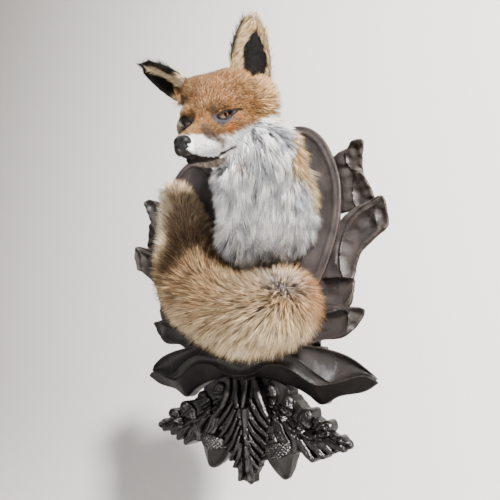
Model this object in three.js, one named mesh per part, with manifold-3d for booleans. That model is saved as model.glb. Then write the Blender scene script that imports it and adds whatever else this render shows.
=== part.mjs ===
// Red fox head and tail mounted on a carved wall plaque.
// Millimetres, Z up, the plaque's back on the plane y = 0 and the room towards -Y.
import * as THREE from 'three';
import Module from 'manifold-3d';

const wasm = await Module();
wasm.setup();

// ---- sizes ----
const GAP = 0.3; // clearance between neighbouring pieces
const SHORTEST = 0.06; // edges below this are closed up
const PANEL_FRONT = 35; // ridge of the raised panel, off the wall
const PANEL_LIP = 33; // top of the panel's thin edge
const PANEL_UNDER = 29; // underside of that edge
const PANEL_UNDERCUT = 20; // from the panel's edge in to where its back meets the wall
const PANEL_FIELD = 31; // flat of the panel inside its ridge
const PANEL_RIDGE = 9; // from the panel's edge in to its ridge
const PANEL_STEP = 15; // from the panel's edge in to its flat
const LEAF_HOLLOW = 4; // depth of the gouged hollows
const SPRAY_CROWN = -3; // the spray's leaves swell instead
const ACORN_CROWN = -9;
const WIDE_LEAF = 24; // leaves this wide or more are hollowed in full
const HEAD_CELL = 10.4; // facet size on the head
const NECK_CELL = 15.6; // facet size on the neck and chest
const TAIL_CELL = 13.9; // facet size on the tail
const HEAD_SCALE = 1.05; // adult fox over the unit head below
const HEAD_ORIGIN = [96.2, -213.5, 111.6]; // midway between the eyes
const HEAD_FORWARD = [0.31199, -0.86584, -0.39113];
const HEAD_LEFT = [0.94466, 0.32665, 0.03041];
const HEAD_UP = [0.10143, -0.37897, 0.91983];
const EYE_RADIUS = 9.3;
const EYE_CENTRE = [-5, 16, -3.4];
const EYE_LOOK = [0.7, 0.71, 0.08];
const LID_REACH = 5; // centre of the opening between the lids, in front of the eyeball
const LID_OPENING = [8, 13, 9.5];
const NOSE_CENTRE = [67, 0, -29];
const NOSE_RADII = [10, 8.5, 8.5];
const EAR_THICKNESS = 4.5;
const EAR_CUP = 15; // depth of the ear's cup at its base
const EAR_FLATTENS = 0.7; // share of the cup lost by the ear's tip

// ---- small vector helpers ----
const add = (a, b) => [a[0] + b[0], a[1] + b[1], a[2] + b[2]];
const sub = (a, b) => [a[0] - b[0], a[1] - b[1], a[2] - b[2]];
const mul = (a, s) => [a[0] * s, a[1] * s, a[2] * s];
const dot = (a, b) => a[0] * b[0] + a[1] * b[1] + a[2] * b[2];
const cross = (a, b) => [
  a[1] * b[2] - a[2] * b[1],
  a[2] * b[0] - a[0] * b[2],
  a[0] * b[1] - a[1] * b[0],
];
const len = (a) => Math.hypot(a[0], a[1], a[2]);
const unit = (a) => mul(a, 1 / len(a));
const mix = (a, b, t) => a + (b - a) * t;
const clamp = (x, lo, hi) => Math.min(hi, Math.max(lo, x));
const mirrored = (a) => [a[0], -a[1], a[2]];

// head frame: x forward, y to the fox's left, z up, unit size
function fromHead(p) {
  const q = mul(p, HEAD_SCALE);
  const side = add(mul(HEAD_FORWARD, q[0]), mul(HEAD_LEFT, q[1]));
  return add(HEAD_ORIGIN, add(side, mul(HEAD_UP, q[2])));
}

function toHead(p) {
  const d = sub(p, HEAD_ORIGIN);
  const q = [dot(d, HEAD_FORWARD), dot(d, HEAD_LEFT), dot(d, HEAD_UP)];
  return mul(q, 1 / HEAD_SCALE);
}

// ---- distance fields ----
function ellipsoid(p, c, r) {
  const d = sub(p, c);
  const k0 = Math.hypot(d[0] / r[0], d[1] / r[1], d[2] / r[2]);
  const k1 = Math.hypot(d[0] / r[0] ** 2, d[1] / r[1] ** 2, d[2] / r[2] ** 2);
  return k1 < 1e-9 ? -Math.min(...r) : (k0 * (k0 - 1)) / k1;
}

function taper(p, a, ra, b, rb) {
  const pa = sub(p, a);
  const ba = sub(b, a);
  const h = clamp(dot(pa, ba) / dot(ba, ba), 0, 1);
  return len(sub(pa, mul(ba, h))) - mix(ra, rb, h);
}

function smooth(a, b, k) {
  const h = clamp(0.5 + (0.5 * (b - a)) / k, 0, 1);
  return mix(b, a, h) - k * h * (1 - h);
}

// cheeks, brows and ear roots: centre, radii and blend; the mount leans, so left and right differ
const HEAD_LOBES = [
  [[-18, 21, -17], [30, 21, 25], 14],
  [[-24, -14, -15], [30, 20, 23], 14],
  [[-32, 25, 28], [24, 24, 22], 10],
  [[-30, -15, 27], [24, 20, 22], 10],
  [[-54, 41, -17], [34, 31, 38], 14],
  [[-50, 46, 10], [27, 27, 30], 10],
  [[-52, -26, -14], [28, 24, 28], 14],
];

// the head to the tips of its coat, in the head frame
function headField(q) {
  const m = [q[0], Math.abs(q[1]), q[2]];
  let d = ellipsoid(q, [-36, 6, 6], [48, 42, 44]);
  for (const [centre, radii, blend] of HEAD_LOBES) {
    d = smooth(d, ellipsoid(q, centre, radii), blend);
  }
  d = smooth(d, ellipsoid(m, [-26, 0, -32], [38, 29, 24]), 14);
  d = smooth(d, taper(m, [4, 0, -19], 19, [63, 0, -30.5], 12.3), 12);
  d = smooth(d, taper(m, [0, 0, -38], 17, [53, 0, -42], 7.5), 8);
  return d;
}

const NECK = [
  [[116, -142, 80], 57],
  [[99, -106, 53], 61],
  [[82, -60, 33], 60],
];
const CHEST_LOBE = [[52, -78, 19], [49, 41, 52]];

function bodyField(p) {
  let d = headField(toHead(p)) * HEAD_SCALE;
  for (let i = 0; i + 1 < NECK.length; i += 1) {
    const [a, ra] = NECK[i];
    const [b, rb] = NECK[i + 1];
    d = smooth(d, taper(p, a, ra, b, rb), 16);
  }
  return smooth(d, ellipsoid(p, ...CHEST_LOBE), 16);
}

// the tail curls round from under the chest, along the foot and up the left side
const TAIL = [
  [[101, -64, -76], 44],
  [[106, -88, -86], 50],
  [[86, -96, -92], 52],
  [[52, -97, -94], 51],
  [[10, -95, -76], 52],
  [[-31, -90, -44], 54],
  [[-59, -80, 6], 45],
  [[-75, -72, 56], 34],
  [[-97, -66, 101], 22],
];

// even curve through a list of rows, four steps between neighbours
function curve(rows) {
  const steps = 4;
  const out = [];
  for (let i = 0; i + 1 < rows.length; i += 1) {
    const a = rows[Math.max(i - 1, 0)];
    const b = rows[i];
    const c = rows[i + 1];
    const d = rows[Math.min(i + 2, rows.length - 1)];
    for (let s = 0; s < steps; s += 1) {
      const t = s / steps;
      out.push(b.map((_, k) => {
        const bend = 2 * a[k] - 5 * b[k] + 4 * c[k] - d[k];
        const turn = 3 * b[k] - a[k] - 3 * c[k] + d[k];
        return b[k] + 0.5 * t * (c[k] - a[k] + t * (bend + t * turn));
      }));
    }
  }
  out.push(rows[rows.length - 1]);
  return out;
}

const TAIL_CURVE = curve(TAIL.map(([p, r]) => [...p, r]));

function tailField(p) {
  let d = 1e9;
  for (let i = 0; i + 1 < TAIL_CURVE.length; i += 1) {
    const a = TAIL_CURVE[i];
    const b = TAIL_CURVE[i + 1];
    d = Math.min(d, taper(p, a.slice(0, 3), a[3], b.slice(0, 3), b[3]));
  }
  return d;
}

// ---- solids ----
function solid(points, faces) {
  let volume = 0;
  for (const [a, b, c] of faces) {
    volume += dot(points[a], cross(points[b], points[c]));
  }
  const turned = volume < 0 ? faces.map(([a, b, c]) => [a, c, b]) : faces;
  const mesh = new wasm.Mesh({
    numProp: 3,
    vertProperties: new Float32Array(points.flat()),
    triVerts: new Uint32Array(turned.flat()),
  });
  return new wasm.Manifold(mesh);
}

// closed skin of a distance field, one point to a cell
function skinOf(field, lo, hi, cell) {
  const n = [0, 1, 2].map((a) => Math.ceil((hi[a] - lo[a]) / cell) + 1);
  const at = (i, j, k) => (i * n[1] + j) * n[2] + k;
  const place = (i, j, k) => [lo[0] + i * cell, lo[1] + j * cell, lo[2] + k * cell];
  const value = new Float64Array(n[0] * n[1] * n[2]);
  for (let i = 0; i < n[0]; i += 1) {
    for (let j = 0; j < n[1]; j += 1) {
      for (let k = 0; k < n[2]; k += 1) {
        value[at(i, j, k)] = field(place(i, j, k));
      }
    }
  }
  const points = [];
  const owner = new Map();
  const corner = (i, j, k) => {
    const key = at(i, j, k);
    if (!owner.has(key)) {
      owner.set(key, points.length);
      points.push(cellPoint(i, j, k));
    }
    return owner.get(key);
  };
  const cellPoint = (i, j, k) => {
    let sum = [0, 0, 0];
    let count = 0;
    for (let axis = 0; axis < 3; axis += 1) {
      for (let side = 0; side < 4; side += 1) {
        const a = [i, j, k];
        a[(axis + 1) % 3] += side & 1;
        a[(axis + 2) % 3] += side >> 1;
        const b = [...a];
        b[axis] += 1;
        const va = value[at(...a)];
        const vb = value[at(...b)];
        if (va < 0 !== vb < 0) {
          const t = va / (va - vb);
          sum = add(sum, add(mul(place(...a), 1 - t), mul(place(...b), t)));
          count += 1;
        }
      }
    }
    return settle(mul(sum, 1 / count));
  };
  // slides a point onto the field's surface
  const settle = (start) => {
    const h = 0.5;
    const gradient = [0, 1, 2].map((axis) => {
      const step = [0, 0, 0];
      step[axis] = h;
      return (field(add(start, step)) - field(sub(start, step))) / (2 * h);
    });
    const move = clamp(field(start), -cell / 4, cell / 4);
    return sub(start, mul(unit(gradient), move));
  };
  const faces = [];
  for (let i = 1; i + 1 < n[0]; i += 1) {
    for (let j = 1; j + 1 < n[1]; j += 1) {
      for (let k = 1; k + 1 < n[2]; k += 1) {
        for (let axis = 0; axis < 3; axis += 1) {
          const b = [i, j, k];
          b[axis] += 1;
          const inside = value[at(i, j, k)] < 0;
          if (inside === value[at(...b)] < 0) continue;
          const u = [0, 0, 0];
          const v = [0, 0, 0];
          u[(axis + 1) % 3] = 1;
          v[(axis + 2) % 3] = 1;
          const c = [i, j, k];
          const quad = [
            corner(...sub(sub(c, u), v)),
            corner(...sub(c, v)),
            corner(...c),
            corner(...sub(c, u)),
          ];
          if (!inside) quad.reverse();
          faces.push([quad[0], quad[1], quad[2]], [quad[0], quad[2], quad[3]]);
        }
      }
    }
  }
  return solid(points, faces);
}

// closed solid through a row of rings, each with the same number of points
function loft(rings) {
  const m = rings[0].length;
  const points = rings.flat();
  const faces = [];
  for (let r = 0; r + 1 < rings.length; r += 1) {
    for (let i = 0; i < m; i += 1) {
      const a = r * m + i;
      const b = r * m + ((i + 1) % m);
      faces.push([a, b, b + m], [a, b + m, a + m]);
    }
  }
  for (const [start, flip] of [[0, true], [(rings.length - 1) * m, false]]) {
    const ring = points.slice(start, start + m);
    const middle = mul(ring.reduce(add, [0, 0, 0]), 1 / m);
    const centre = points.push(middle) - 1;
    for (let i = 0; i < m; i += 1) {
      const a = start + i;
      const b = start + ((i + 1) % m);
      faces.push(flip ? [b, a, centre] : [a, b, centre]);
    }
  }
  return solid(points, faces);
}

function ball(centre, radii, frame, rings, sides) {
  const rows = [];
  for (let r = 0; r < rings; r += 1) {
    const polar = mix(0.02, Math.PI - 0.02, r / (rings - 1));
    const row = [];
    for (let s = 0; s < sides; s += 1) {
      const turn = (2 * Math.PI * s) / sides;
      const x = radii[0] * Math.cos(polar);
      const y = radii[1] * Math.sin(polar) * Math.cos(turn);
      const z = radii[2] * Math.sin(polar) * Math.sin(turn);
      const side = add(mul(frame[0], x), mul(frame[1], y));
      row.push(add(centre, add(side, mul(frame[2], z))));
    }
    rows.push(row);
  }
  return loft(rows);
}

// everything on the far side of a plane, out to a wide block
function beyond(point, normal) {
  const n = unit(normal);
  const a = unit(cross(n, Math.abs(n[2]) < 0.8 ? [0, 0, 1] : [1, 0, 0]));
  const b = cross(n, a);
  const size = 700;
  const ringAt = (depth) => [[-1, -1], [1, -1], [1, 1], [-1, 1]].map(([s, t]) => {
    const flat = add(mul(a, s * size), mul(b, t * size));
    return add(point, add(flat, mul(n, depth)));
  });
  return loft([ringAt(0), ringAt(size)]);
}

// cuts a body at a plane and leaves the clearance on the far side
function split(body, point, normal) {
  const n = unit(normal);
  const far = body.intersect(beyond(add(point, mul(n, GAP)), n));
  const near = body.subtract(beyond(point, n));
  return [near, far];
}

// ---- plaque outlines: x and z on the right half, mirrored for the left ----
const PANEL_HALF = [
  [0, 112], [26, 124], [50, 142], [72, 161], [98, 170], [122, 162],
  [142, 142], [155, 115], [163, 88], [165.5, 60], [162, 26], [152, -8],
  [133, -48], [108, -84], [76, -112], [38, -128], [0, -134],
];

function panelOutline(inset) {
  const left = PANEL_HALF.slice(1, -1).reverse().map(([x, z]) => [-x, z]);
  const full = [...PANEL_HALF, ...left];
  const m = full.length;
  return full.map((p, i) => {
    const before = full[(i + m - 1) % m];
    const after = full[(i + 1) % m];
    const along = [after[0] - before[0], after[1] - before[1]];
    const size = Math.hypot(...along);
    return [p[0] + (along[1] / size) * inset, p[1] - (along[0] / size) * inset];
  });
}

// its back, undercut, lip, ridge and flat: inset from the edge, and depth off the wall
function panelSolid(grow) {
  const levels = [
    [-grow + PANEL_UNDERCUT, 0],
    [-grow, PANEL_UNDER - grow],
    [-grow, PANEL_LIP + grow],
    [-grow + PANEL_RIDGE, PANEL_FRONT + grow],
    [-grow + PANEL_STEP, PANEL_FIELD + grow],
  ];
  return loft(levels.map(([inset, depth]) => {
    return panelOutline(inset).map(([x, z]) => [x, -depth, z]);
  }));
}

// rows run along a leaf: outer x, z; inner x, z; front depth at each; back depth at each
const UPPER_LEAF = [
  [203, 117, 192, 121, 46, 44, 34, 34],
  [200, 104, 174, 116, 43, 36, 32, 28],
  [197, 92, 148, 111, 40, 30, 22, 0],
  [196, 80, 147, 94, 37, 27, 12, 0],
  [201, 66, 149, 76, 35, 26, 10, 0],
  [205, 52, 150, 56, 33, 25, 8, 0],
  [203, 38, 148, 36, 30, 25, 6, 0],
];
const MIDDLE_LEAF = [
  [225, 32, 219, 42, 40, 41, 28, 30],
  [224, 5, 199, 37, 36, 38, 24, 28],
  [212, -3, 180, 33, 34, 36, 20, 18],
  [199, -12, 150, 14, 33, 32, 15, 0],
  [187, -21, 144, -6, 32, 30, 12, 0],
  [180, -32, 136, -26, 31, 28, 8, 0],
  [174, -50, 124, -46, 30, 27, 5, 0],
  [163, -88, 112, -80, 28, 26, 3, 0],
];
const LOWER_LEAF = [
  [183, -96, 182, -89, 26, 28, 14, 16],
  [172, -111, 163, -86, 27, 30, 8, 14],
  [153, -124, 144, -84, 28, 31, 4, 6],
  [125, -126, 126, -83, 28, 31, 2, 0],
  [103, -132, 98, -84, 28, 31, 0, 0],
];
const BOW_WING = [
  [0.4, -174, 0.4, -126, 32, 20, 0, 0],
  [29, -173, 28, -122, 34, 20, 0, 0],
  [56, -178, 54, -119, 35, 22, 0, 0],
  [78, -184, 80, -125, 35, 28, 0, 0],
  [99, -194, 104, -131, 32, 33, 0, 0],
  [117, -205, 132, -136, 28, 32, 0, 0],
  [141, -194, 160, -145, 29, 31, 3, 8],
  [172, -188, 181, -159, 28, 30, 7, 12],
  [190, -179, 193, -174, 25, 26, 9, 13],
];
const SIDE_LEAF = [
  [40, -232, 24, -177.5, 24, 22, 0, 0],
  [70, -258, 58, -182, 27, 28, 0, 0],
  [90, -267, 82, -196, 28, 32, 0, 0],
  [106, -271, 100, -209, 29, 34, 3, 4],
  [122, -266, 120, -219, 30, 35, 8, 10],
  [140, -260, 140, -234, 31, 35, 14, 16],
  [160, -252, 162, -246, 32, 35, 22, 24],
];
const CENTRE_LEAF = [
  [-21, -178, 21, -178, 26, 26, 0, 0],
  [-29, -200, 29, -200, 29, 29, 0, 0],
  [-43, -222, 43, -222, 30, 30, 0, 0],
  [-42, -246, 42, -246, 29, 29, 4, 4],
  [-32, -270, 32, -270, 27, 27, 6, 6],
  [-22, -290, 22, -290, 25, 25, 8, 8],
  [-12, -307, 12, -307, 22, 22, 10, 10],
  [-4, -315, 4, -315, 18, 18, 10, 10],
];
const ACORN = [
  [36, -258, 74, -250, 18, 18, 0, 0],
  [32, -272, 76, -265, 22, 22, 3, 3],
  [40, -286, 72, -281, 22, 22, 6, 6],
  [56, -298, 66, -296, 18, 18, 10, 10],
];

// a carved strip between two edges, hollowed (or raised) across its front
function carved(rows, side, hollow, grow) {
  const steps = 5;
  return loft(rows.map(([ax, az, bx, bz, da, db, backA, backB]) => {
    const ring = [];
    const width = Math.hypot(bx - ax, bz - az);
    const out = grow / width;
    for (let i = 0; i <= steps; i += 1) {
      const t = i / steps;
      const s = mix(-out, 1 + out, t);
      const dip = Math.min(1, width / WIDE_LEAF) * hollow * Math.sin(Math.PI * t);
      const depth = mix(da, db, t) - dip + grow;
      ring.push([side * mix(ax, bx, s), -depth, mix(az, bz, s)]);
    }
    for (const s of [1 + out, 0.5, -out]) {
      const depth = Math.max(0, mix(backA, backB, clamp(s, 0, 1)) - grow);
      ring.push([side * mix(ax, bx, s), -depth, mix(az, bz, s)]);
    }
    return ring;
  }));
}

// ---- ears ----
// inner base, outer base, tip and the way the cup opens, in the head frame
const LEFT_EAR = [[-30, 25, 45], [-56, 62, 17], [-80, 51, 108], [0.72, 0.62, 0.3]];
const RIGHT_EAR = [[-30, -24, 46], [-47, -50, 27], [-80, -101, 87], [0.86, -0.2, -0.1]];
// how far up the ear, and its width there
const EAR_ROWS = [
  [-0.35, 0.6], [-0.12, 0.85], [0.06, 1.0], [0.22, 1.05], [0.38, 1.02],
  [0.54, 0.93], [0.7, 0.79], [0.86, 0.59], [1, 0.28],
];

function earSolid([inner, outer, tip, open]) {
  const root = mul(add(inner, outer), 0.5);
  const half = mul(sub(outer, inner), 0.5);
  const rise = sub(tip, root);
  const face = unit(open);
  const steps = 6;
  const rows = EAR_ROWS.map(([up, spread]) => {
    const middle = add(root, mul(rise, up));
    const cup = EAR_CUP * spread * (1 - EAR_FLATTENS * clamp((up - 0.45) / 0.55, 0, 1));
    const front = [];
    const back = [];
    for (let i = 0; i <= steps; i += 1) {
      const s = mix(-1, 1, i / steps);
      const place = add(middle, mul(half, s * spread));
      const bend = -cup * (1 - s * s);
      const thick = EAR_THICKNESS * mix(1, 0.5, Math.abs(s));
      front.push(add(place, mul(face, bend)));
      back.push(add(place, mul(face, bend - thick)));
    }
    return [...front, ...back.reverse()].map(fromHead);
  });
  return loft(rows);
}

// ---- fox ----
// the head ends at a plane across the nape and throat
const HEAD_BACK = fromHead([-62, 0, -14]);
const HEAD_BACKWARD = unit(add(mul(HEAD_FORWARD, -0.8), mul(HEAD_UP, -0.6)));
const OVERRUN = 25; // how far the neck's field runs on into the head

// planes that part the pieces: a point on each and the way it faces
const CHEST_CUT = [[96, -98, 48], [-0.24, 0.8, -0.45]];
const TAIL_ROOT_CUT = [[66, -97, -93], [-1, 0, 0]];
const TAIL_FOOT_CUT = [[2, -95, -72], [-0.75, 0, 0.66]];
const TAIL_SIDE_CUT = [[-64, -76, 28], [-0.35, 0, 0.94]];
const TAIL_LOW = [-150, -170, -160];
const TAIL_HIGH = [175, 10, 140];

// the block that holds the lower jaw, in the head frame
const JAW_BACK = 18; // corner of the mouth
const JAW_FRONT = 95;
const JAW_HALF_WIDTH = 26;
const JAW_TOP = -40; // line of the lips
const JAW_BOTTOM = -80;

const BODY_LOW = [-20, -320, -60];
const BODY_HIGH = [230, 20, 235];
const ahead = (p) => dot(sub(HEAD_BACK, p), HEAD_BACKWARD) - OVERRUN;
const neckField = (p) => Math.max(bodyField(p), ahead(p));
const wall = beyond([0, -PANEL_FRONT - GAP, 0], [0, 1, 0]);
const fineBody = skinOf(bodyField, BODY_LOW, BODY_HIGH, HEAD_CELL);
const wideBody = skinOf(neckField, BODY_LOW, BODY_HIGH, NECK_CELL);

const headAxes = [HEAD_FORWARD, HEAD_LEFT, HEAD_UP];
const [headRough] = split(fineBody, HEAD_BACK, HEAD_BACKWARD);
const neckRough = split(wideBody, HEAD_BACK, HEAD_BACKWARD)[1].subtract(wall);
const [neck, chest] = split(neckRough, ...CHEST_CUT);

const nose = ball(fromHead(NOSE_CENTRE), mul(NOSE_RADII, HEAD_SCALE), headAxes, 8, 12);
const noseRoom = ball(
  fromHead(NOSE_CENTRE),
  mul(NOSE_RADII, HEAD_SCALE).map((r) => r + GAP),
  headAxes,
  8,
  12,
);

function eyeParts(side) {
  const mirror = side > 0 ? (p) => p : mirrored;
  const look = unit(mirror(EYE_LOOK));
  const worldLook = add(mul(HEAD_FORWARD, look[0]), mul(HEAD_LEFT, look[1]));
  const x = unit(add(worldLook, mul(HEAD_UP, look[2])));
  const y = unit(cross(HEAD_UP, x));
  const frame = [x, y, cross(x, y)];
  const centre = fromHead(mirror(EYE_CENTRE));
  const radius = EYE_RADIUS * HEAD_SCALE;
  const eye = ball(centre, [radius, radius, radius], frame, 9, 12);
  const grown = radius + GAP;
  const room = ball(centre, [grown, grown, grown], frame, 9, 12);
  const mouth = ball(add(centre, mul(x, radius + LID_REACH)), LID_OPENING, frame, 7, 12);
  return [eye, room.add(mouth)];
}

const [eyeLeft, eyeLeftRoom] = eyeParts(1);
const [eyeRight, eyeRightRoom] = eyeParts(-1);
const headOpen = headRough.subtract(noseRoom).subtract(eyeLeftRoom).subtract(eyeRightRoom);

// the lower jaw lies below the line of the lips, back to the corner of the mouth
function jawBlock(grow) {
  const top = JAW_TOP + grow;
  const ringAt = (x) => [[-1, JAW_BOTTOM], [1, JAW_BOTTOM], [1, top], [-1, top]].map(([side, z]) => {
    return fromHead([x, side * JAW_HALF_WIDTH, z]);
  });
  return loft([ringAt(JAW_BACK - grow), ringAt(JAW_FRONT)]);
}

const lowerJaw = headOpen.intersect(jawBlock(0));
const head = headOpen.subtract(jawBlock(GAP / HEAD_SCALE));

const headRoom = skinOf((p) => bodyField(p) - GAP, BODY_LOW, BODY_HIGH, HEAD_CELL);
const neckRoom = skinOf((p) => neckField(p) - GAP, BODY_LOW, BODY_HIGH, NECK_CELL);
const earLeft = earSolid(LEFT_EAR).subtract(headRoom);
const earRight = earSolid(RIGHT_EAR).subtract(headRoom);

const tailWhole = skinOf(tailField, TAIL_LOW, TAIL_HIGH, TAIL_CELL);
const tail = tailWhole.subtract(wall).subtract(neckRoom);
const [tailRoot, tailOn] = split(tail, ...TAIL_ROOT_CUT);
const [tailFoot, tailUp] = split(tailOn, ...TAIL_FOOT_CUT);
const [tailSide, tailTip] = split(tailUp, ...TAIL_SIDE_CUT);

// ---- plaque ----
const panel = panelSolid(0);
const panelRoom = panelSolid(GAP);

function plaqueSide(side) {
  const bow = carved(BOW_WING, side, LEAF_HOLLOW, 0).subtract(panelRoom);
  const bowRoom = carved(BOW_WING, side, LEAF_HOLLOW, GAP);
  const lower = carved(LOWER_LEAF, side, LEAF_HOLLOW, 0).subtract(panelRoom);
  const lowerRoom = carved(LOWER_LEAF, side, LEAF_HOLLOW, GAP);
  const middleRoom = carved(MIDDLE_LEAF, side, LEAF_HOLLOW, GAP);
  const middle = carved(MIDDLE_LEAF, side, LEAF_HOLLOW, 0).subtract(panelRoom);
  const upper = carved(UPPER_LEAF, side, LEAF_HOLLOW, 0).subtract(panelRoom);
  const centreRoom = carved(CENTRE_LEAF, 1, SPRAY_CROWN, GAP);
  const sideLeafRoom = carved(SIDE_LEAF, side, SPRAY_CROWN, GAP);
  const sideLeaf = carved(SIDE_LEAF, side, SPRAY_CROWN, 0).subtract(centreRoom).subtract(bowRoom);
  const acorn = carved(ACORN, side, ACORN_CROWN, 0).subtract(centreRoom).subtract(sideLeafRoom);
  return {
    upper_leaf: upper.subtract(middleRoom),
    middle_leaf: middle.subtract(lowerRoom),
    lower_leaf: lower.subtract(bowRoom),
    bow: bow,
    spray_leaf: sideLeaf,
    acorn: acorn,
  };
}

const rightBow = carved(BOW_WING, 1, LEAF_HOLLOW, GAP);
const leftBow = carved(BOW_WING, -1, LEAF_HOLLOW, GAP);
const sprayCentre = carved(CENTRE_LEAF, 1, SPRAY_CROWN, 0).subtract(rightBow).subtract(leftBow);

// ---- nodes ----
const WOOD = { color: [0.055, 0.035, 0.026], roughness: 0.42, metalness: 0 };
const FOX_TAN = { color: [0.42, 0.27, 0.15], roughness: 0.9, metalness: 0 };
const FOX_GREY = { color: [0.55, 0.51, 0.46], roughness: 0.9, metalness: 0 };
const FOX_CREAM = { color: [0.72, 0.62, 0.47], roughness: 0.9, metalness: 0 };
const FOX_BLACK = { color: [0.05, 0.04, 0.035], roughness: 0.9, metalness: 0 };
const EYE_GLASS = { color: [0.11, 0.05, 0.02], roughness: 0.06, metalness: 0 };
const NOSE_SKIN = { color: [0.03, 0.027, 0.026], roughness: 0.45, metalness: 0 };

const group = new THREE.Group();

// joins the ends of edges shorter than SHORTEST, which a cut can leave
function weld(mesh) {
  const point = (i) => {
    const start = i * mesh.numProp;
    return [...mesh.vertProperties.slice(start, start + 3)];
  };
  const parent = [...Array(mesh.vertProperties.length / mesh.numProp).keys()];
  const root = (i) => {
    let r = i;
    while (parent[r] !== r) r = parent[r];
    return r;
  };
  const corners = [...mesh.triVerts];
  corners.forEach((a, i) => {
    const b = corners[i % 3 === 2 ? i - 2 : i + 1];
    if (len(sub(point(a), point(b))) < SHORTEST) parent[root(a)] = root(b);
  });
  const index = [];
  for (let i = 0; i < corners.length; i += 3) {
    const [a, b, c] = corners.slice(i, i + 3).map(root);
    if (a !== b && b !== c && c !== a) index.push(a, b, c);
  }
  return { position: parent.map((_, i) => point(i)).flat(), index };
}

function put(name, body, look) {
  const { position, index } = weld(body.getMesh());
  const geometry = new THREE.BufferGeometry();
  geometry.setAttribute('position', new THREE.Float32BufferAttribute(position, 3));
  geometry.setIndex(index);
  geometry.computeVertexNormals();
  const material = new THREE.MeshStandardMaterial({
    color: new THREE.Color().setRGB(...look.color),
    roughness: look.roughness,
    metalness: look.metalness,
  });
  const node = new THREE.Mesh(geometry, material);
  node.name = name;
  group.add(node);
}

put('panel', panel, WOOD);
for (const [word, side] of [['right', 1], ['left', -1]]) {
  for (const [name, piece] of Object.entries(plaqueSide(side))) {
    put(`${name}_${word}`, piece, WOOD);
  }
}
put('spray_leaf_centre', sprayCentre, WOOD);
put('head', head, FOX_TAN);
put('lower_jaw', lowerJaw, FOX_GREY);
put('nose', nose, NOSE_SKIN);
put('eye_left', eyeLeft, EYE_GLASS);
put('eye_right', eyeRight, EYE_GLASS);
put('ear_left', earLeft, FOX_BLACK);
put('ear_right', earRight, FOX_BLACK);
put('neck', neck, FOX_GREY);
put('chest', chest, FOX_GREY);
put('tail_root', tailRoot, FOX_TAN);
put('tail_foot', tailFoot, FOX_TAN);
put('tail_side', tailSide, FOX_TAN);
put('tail_tip', tailTip, FOX_CREAM);

export default group;
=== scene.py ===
"""A red fox's head, neck and tail on a carved wooden wall plaque."""

import math

import bpy
import numpy as np
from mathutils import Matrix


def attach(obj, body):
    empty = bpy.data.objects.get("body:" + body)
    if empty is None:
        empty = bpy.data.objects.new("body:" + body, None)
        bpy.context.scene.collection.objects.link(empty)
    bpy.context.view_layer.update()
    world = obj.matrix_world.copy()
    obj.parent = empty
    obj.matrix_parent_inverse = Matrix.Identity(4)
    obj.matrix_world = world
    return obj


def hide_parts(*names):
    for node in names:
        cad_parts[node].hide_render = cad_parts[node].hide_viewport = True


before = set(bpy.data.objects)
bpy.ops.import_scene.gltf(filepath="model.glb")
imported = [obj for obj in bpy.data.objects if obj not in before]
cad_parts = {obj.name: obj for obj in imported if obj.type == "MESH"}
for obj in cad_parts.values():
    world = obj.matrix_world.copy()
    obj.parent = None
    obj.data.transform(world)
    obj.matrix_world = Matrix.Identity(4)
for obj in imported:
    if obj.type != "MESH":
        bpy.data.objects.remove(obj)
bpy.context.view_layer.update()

import openvdb
from mathutils import Matrix, Vector
from mathutils.kdtree import KDTree

# ---- sizes, in millimetres unless a name says otherwise ----
# p is rows of places in the world, q the same in the head's frame, and m is q with the right side
# folded over on the left.
MM = 0.001
NO_GAP_YET = 1e9
PANEL_FRONT = 35.0
SUNK = 2.0  # how far the skins go into the panel
CLEAR = 1.0  # no tuft is rooted nearer to the panel
HEAD_SCALE = 1.05
HEAD_ORIGIN = np.array([96.2, -213.5, 111.6])  # midway between the eyes
HEAD_AXES = np.array(
    [
        [0.31199, -0.86584, -0.39113],  # forward
        [0.94466, 0.32665, 0.03041],  # the fox's left
        [0.10143, -0.37897, 0.91983],  # up
    ]
)
SKIN_VOXEL = 1.0
TAIL_VOXEL = 2.2
NOSE_VOXEL = 0.5
BODY_BOX = ([-20, -310, -60], [235, -26, 264])
TAIL_BOX = ([-150, -170, -170], [180, -26, 150])
BODY_TUFTS = 95000
TAIL_TUFTS = 46000
TUFT_SIDES = 3
TUFT_SEGMENTS = 2
TUFT_PATCH = 0.003  # a tuft's share of its unwrap


# ---- small maths on rows of points ----
def unit(v):
    return v / np.maximum(np.linalg.norm(v, axis=-1, keepdims=True), 1e-9)


def dot(a, b):
    return (a * b).sum(-1)


def mix(a, b, t):
    return a + (b - a) * t


def step(x, low, high):
    """0 at low, 1 at high and smooth between. Low may be the larger of the two."""
    t = np.clip((x - low) / (high - low), 0, 1)
    return t * t * (3 - 2 * t)


def to_head(p):
    """World millimetres to the head's own frame: x forward, y left, z up, unit size."""
    return (p - HEAD_ORIGIN) @ HEAD_AXES.T / HEAD_SCALE


def from_head(q):
    """The head's frame back to world millimetres."""
    return HEAD_ORIGIN + np.asarray(q, float) @ HEAD_AXES * HEAD_SCALE


def ripple(p, wave, seed):
    """Smooth noise between about -1 and 1 with bumps a wave apart."""
    turn = np.random.default_rng(seed)
    total = np.zeros(len(p))
    for octave in (1.0, 0.57, 0.31):
        axis = unit(turn.normal(size=(3, 3)))
        phase = turn.uniform(0, 2 * np.pi, 3)
        waves = p @ axis.T * (2 * np.pi / (wave * octave)) + phase
        total += np.sin(waves + 1.3 * np.sin(np.roll(waves, 1, axis=1) * 0.7)).sum(1) * octave
    return total / 4.2


# ---- distance fields: below 0 inside ----
def ellipsoid(p, centre, radii):
    d = p - np.array(centre, float)
    r = np.array(radii, float)
    k0 = np.linalg.norm(d / r, axis=-1)
    k1 = np.linalg.norm(d / r**2, axis=-1)
    return k0 * (k0 - 1) / np.maximum(k1, 1e-9)


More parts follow.
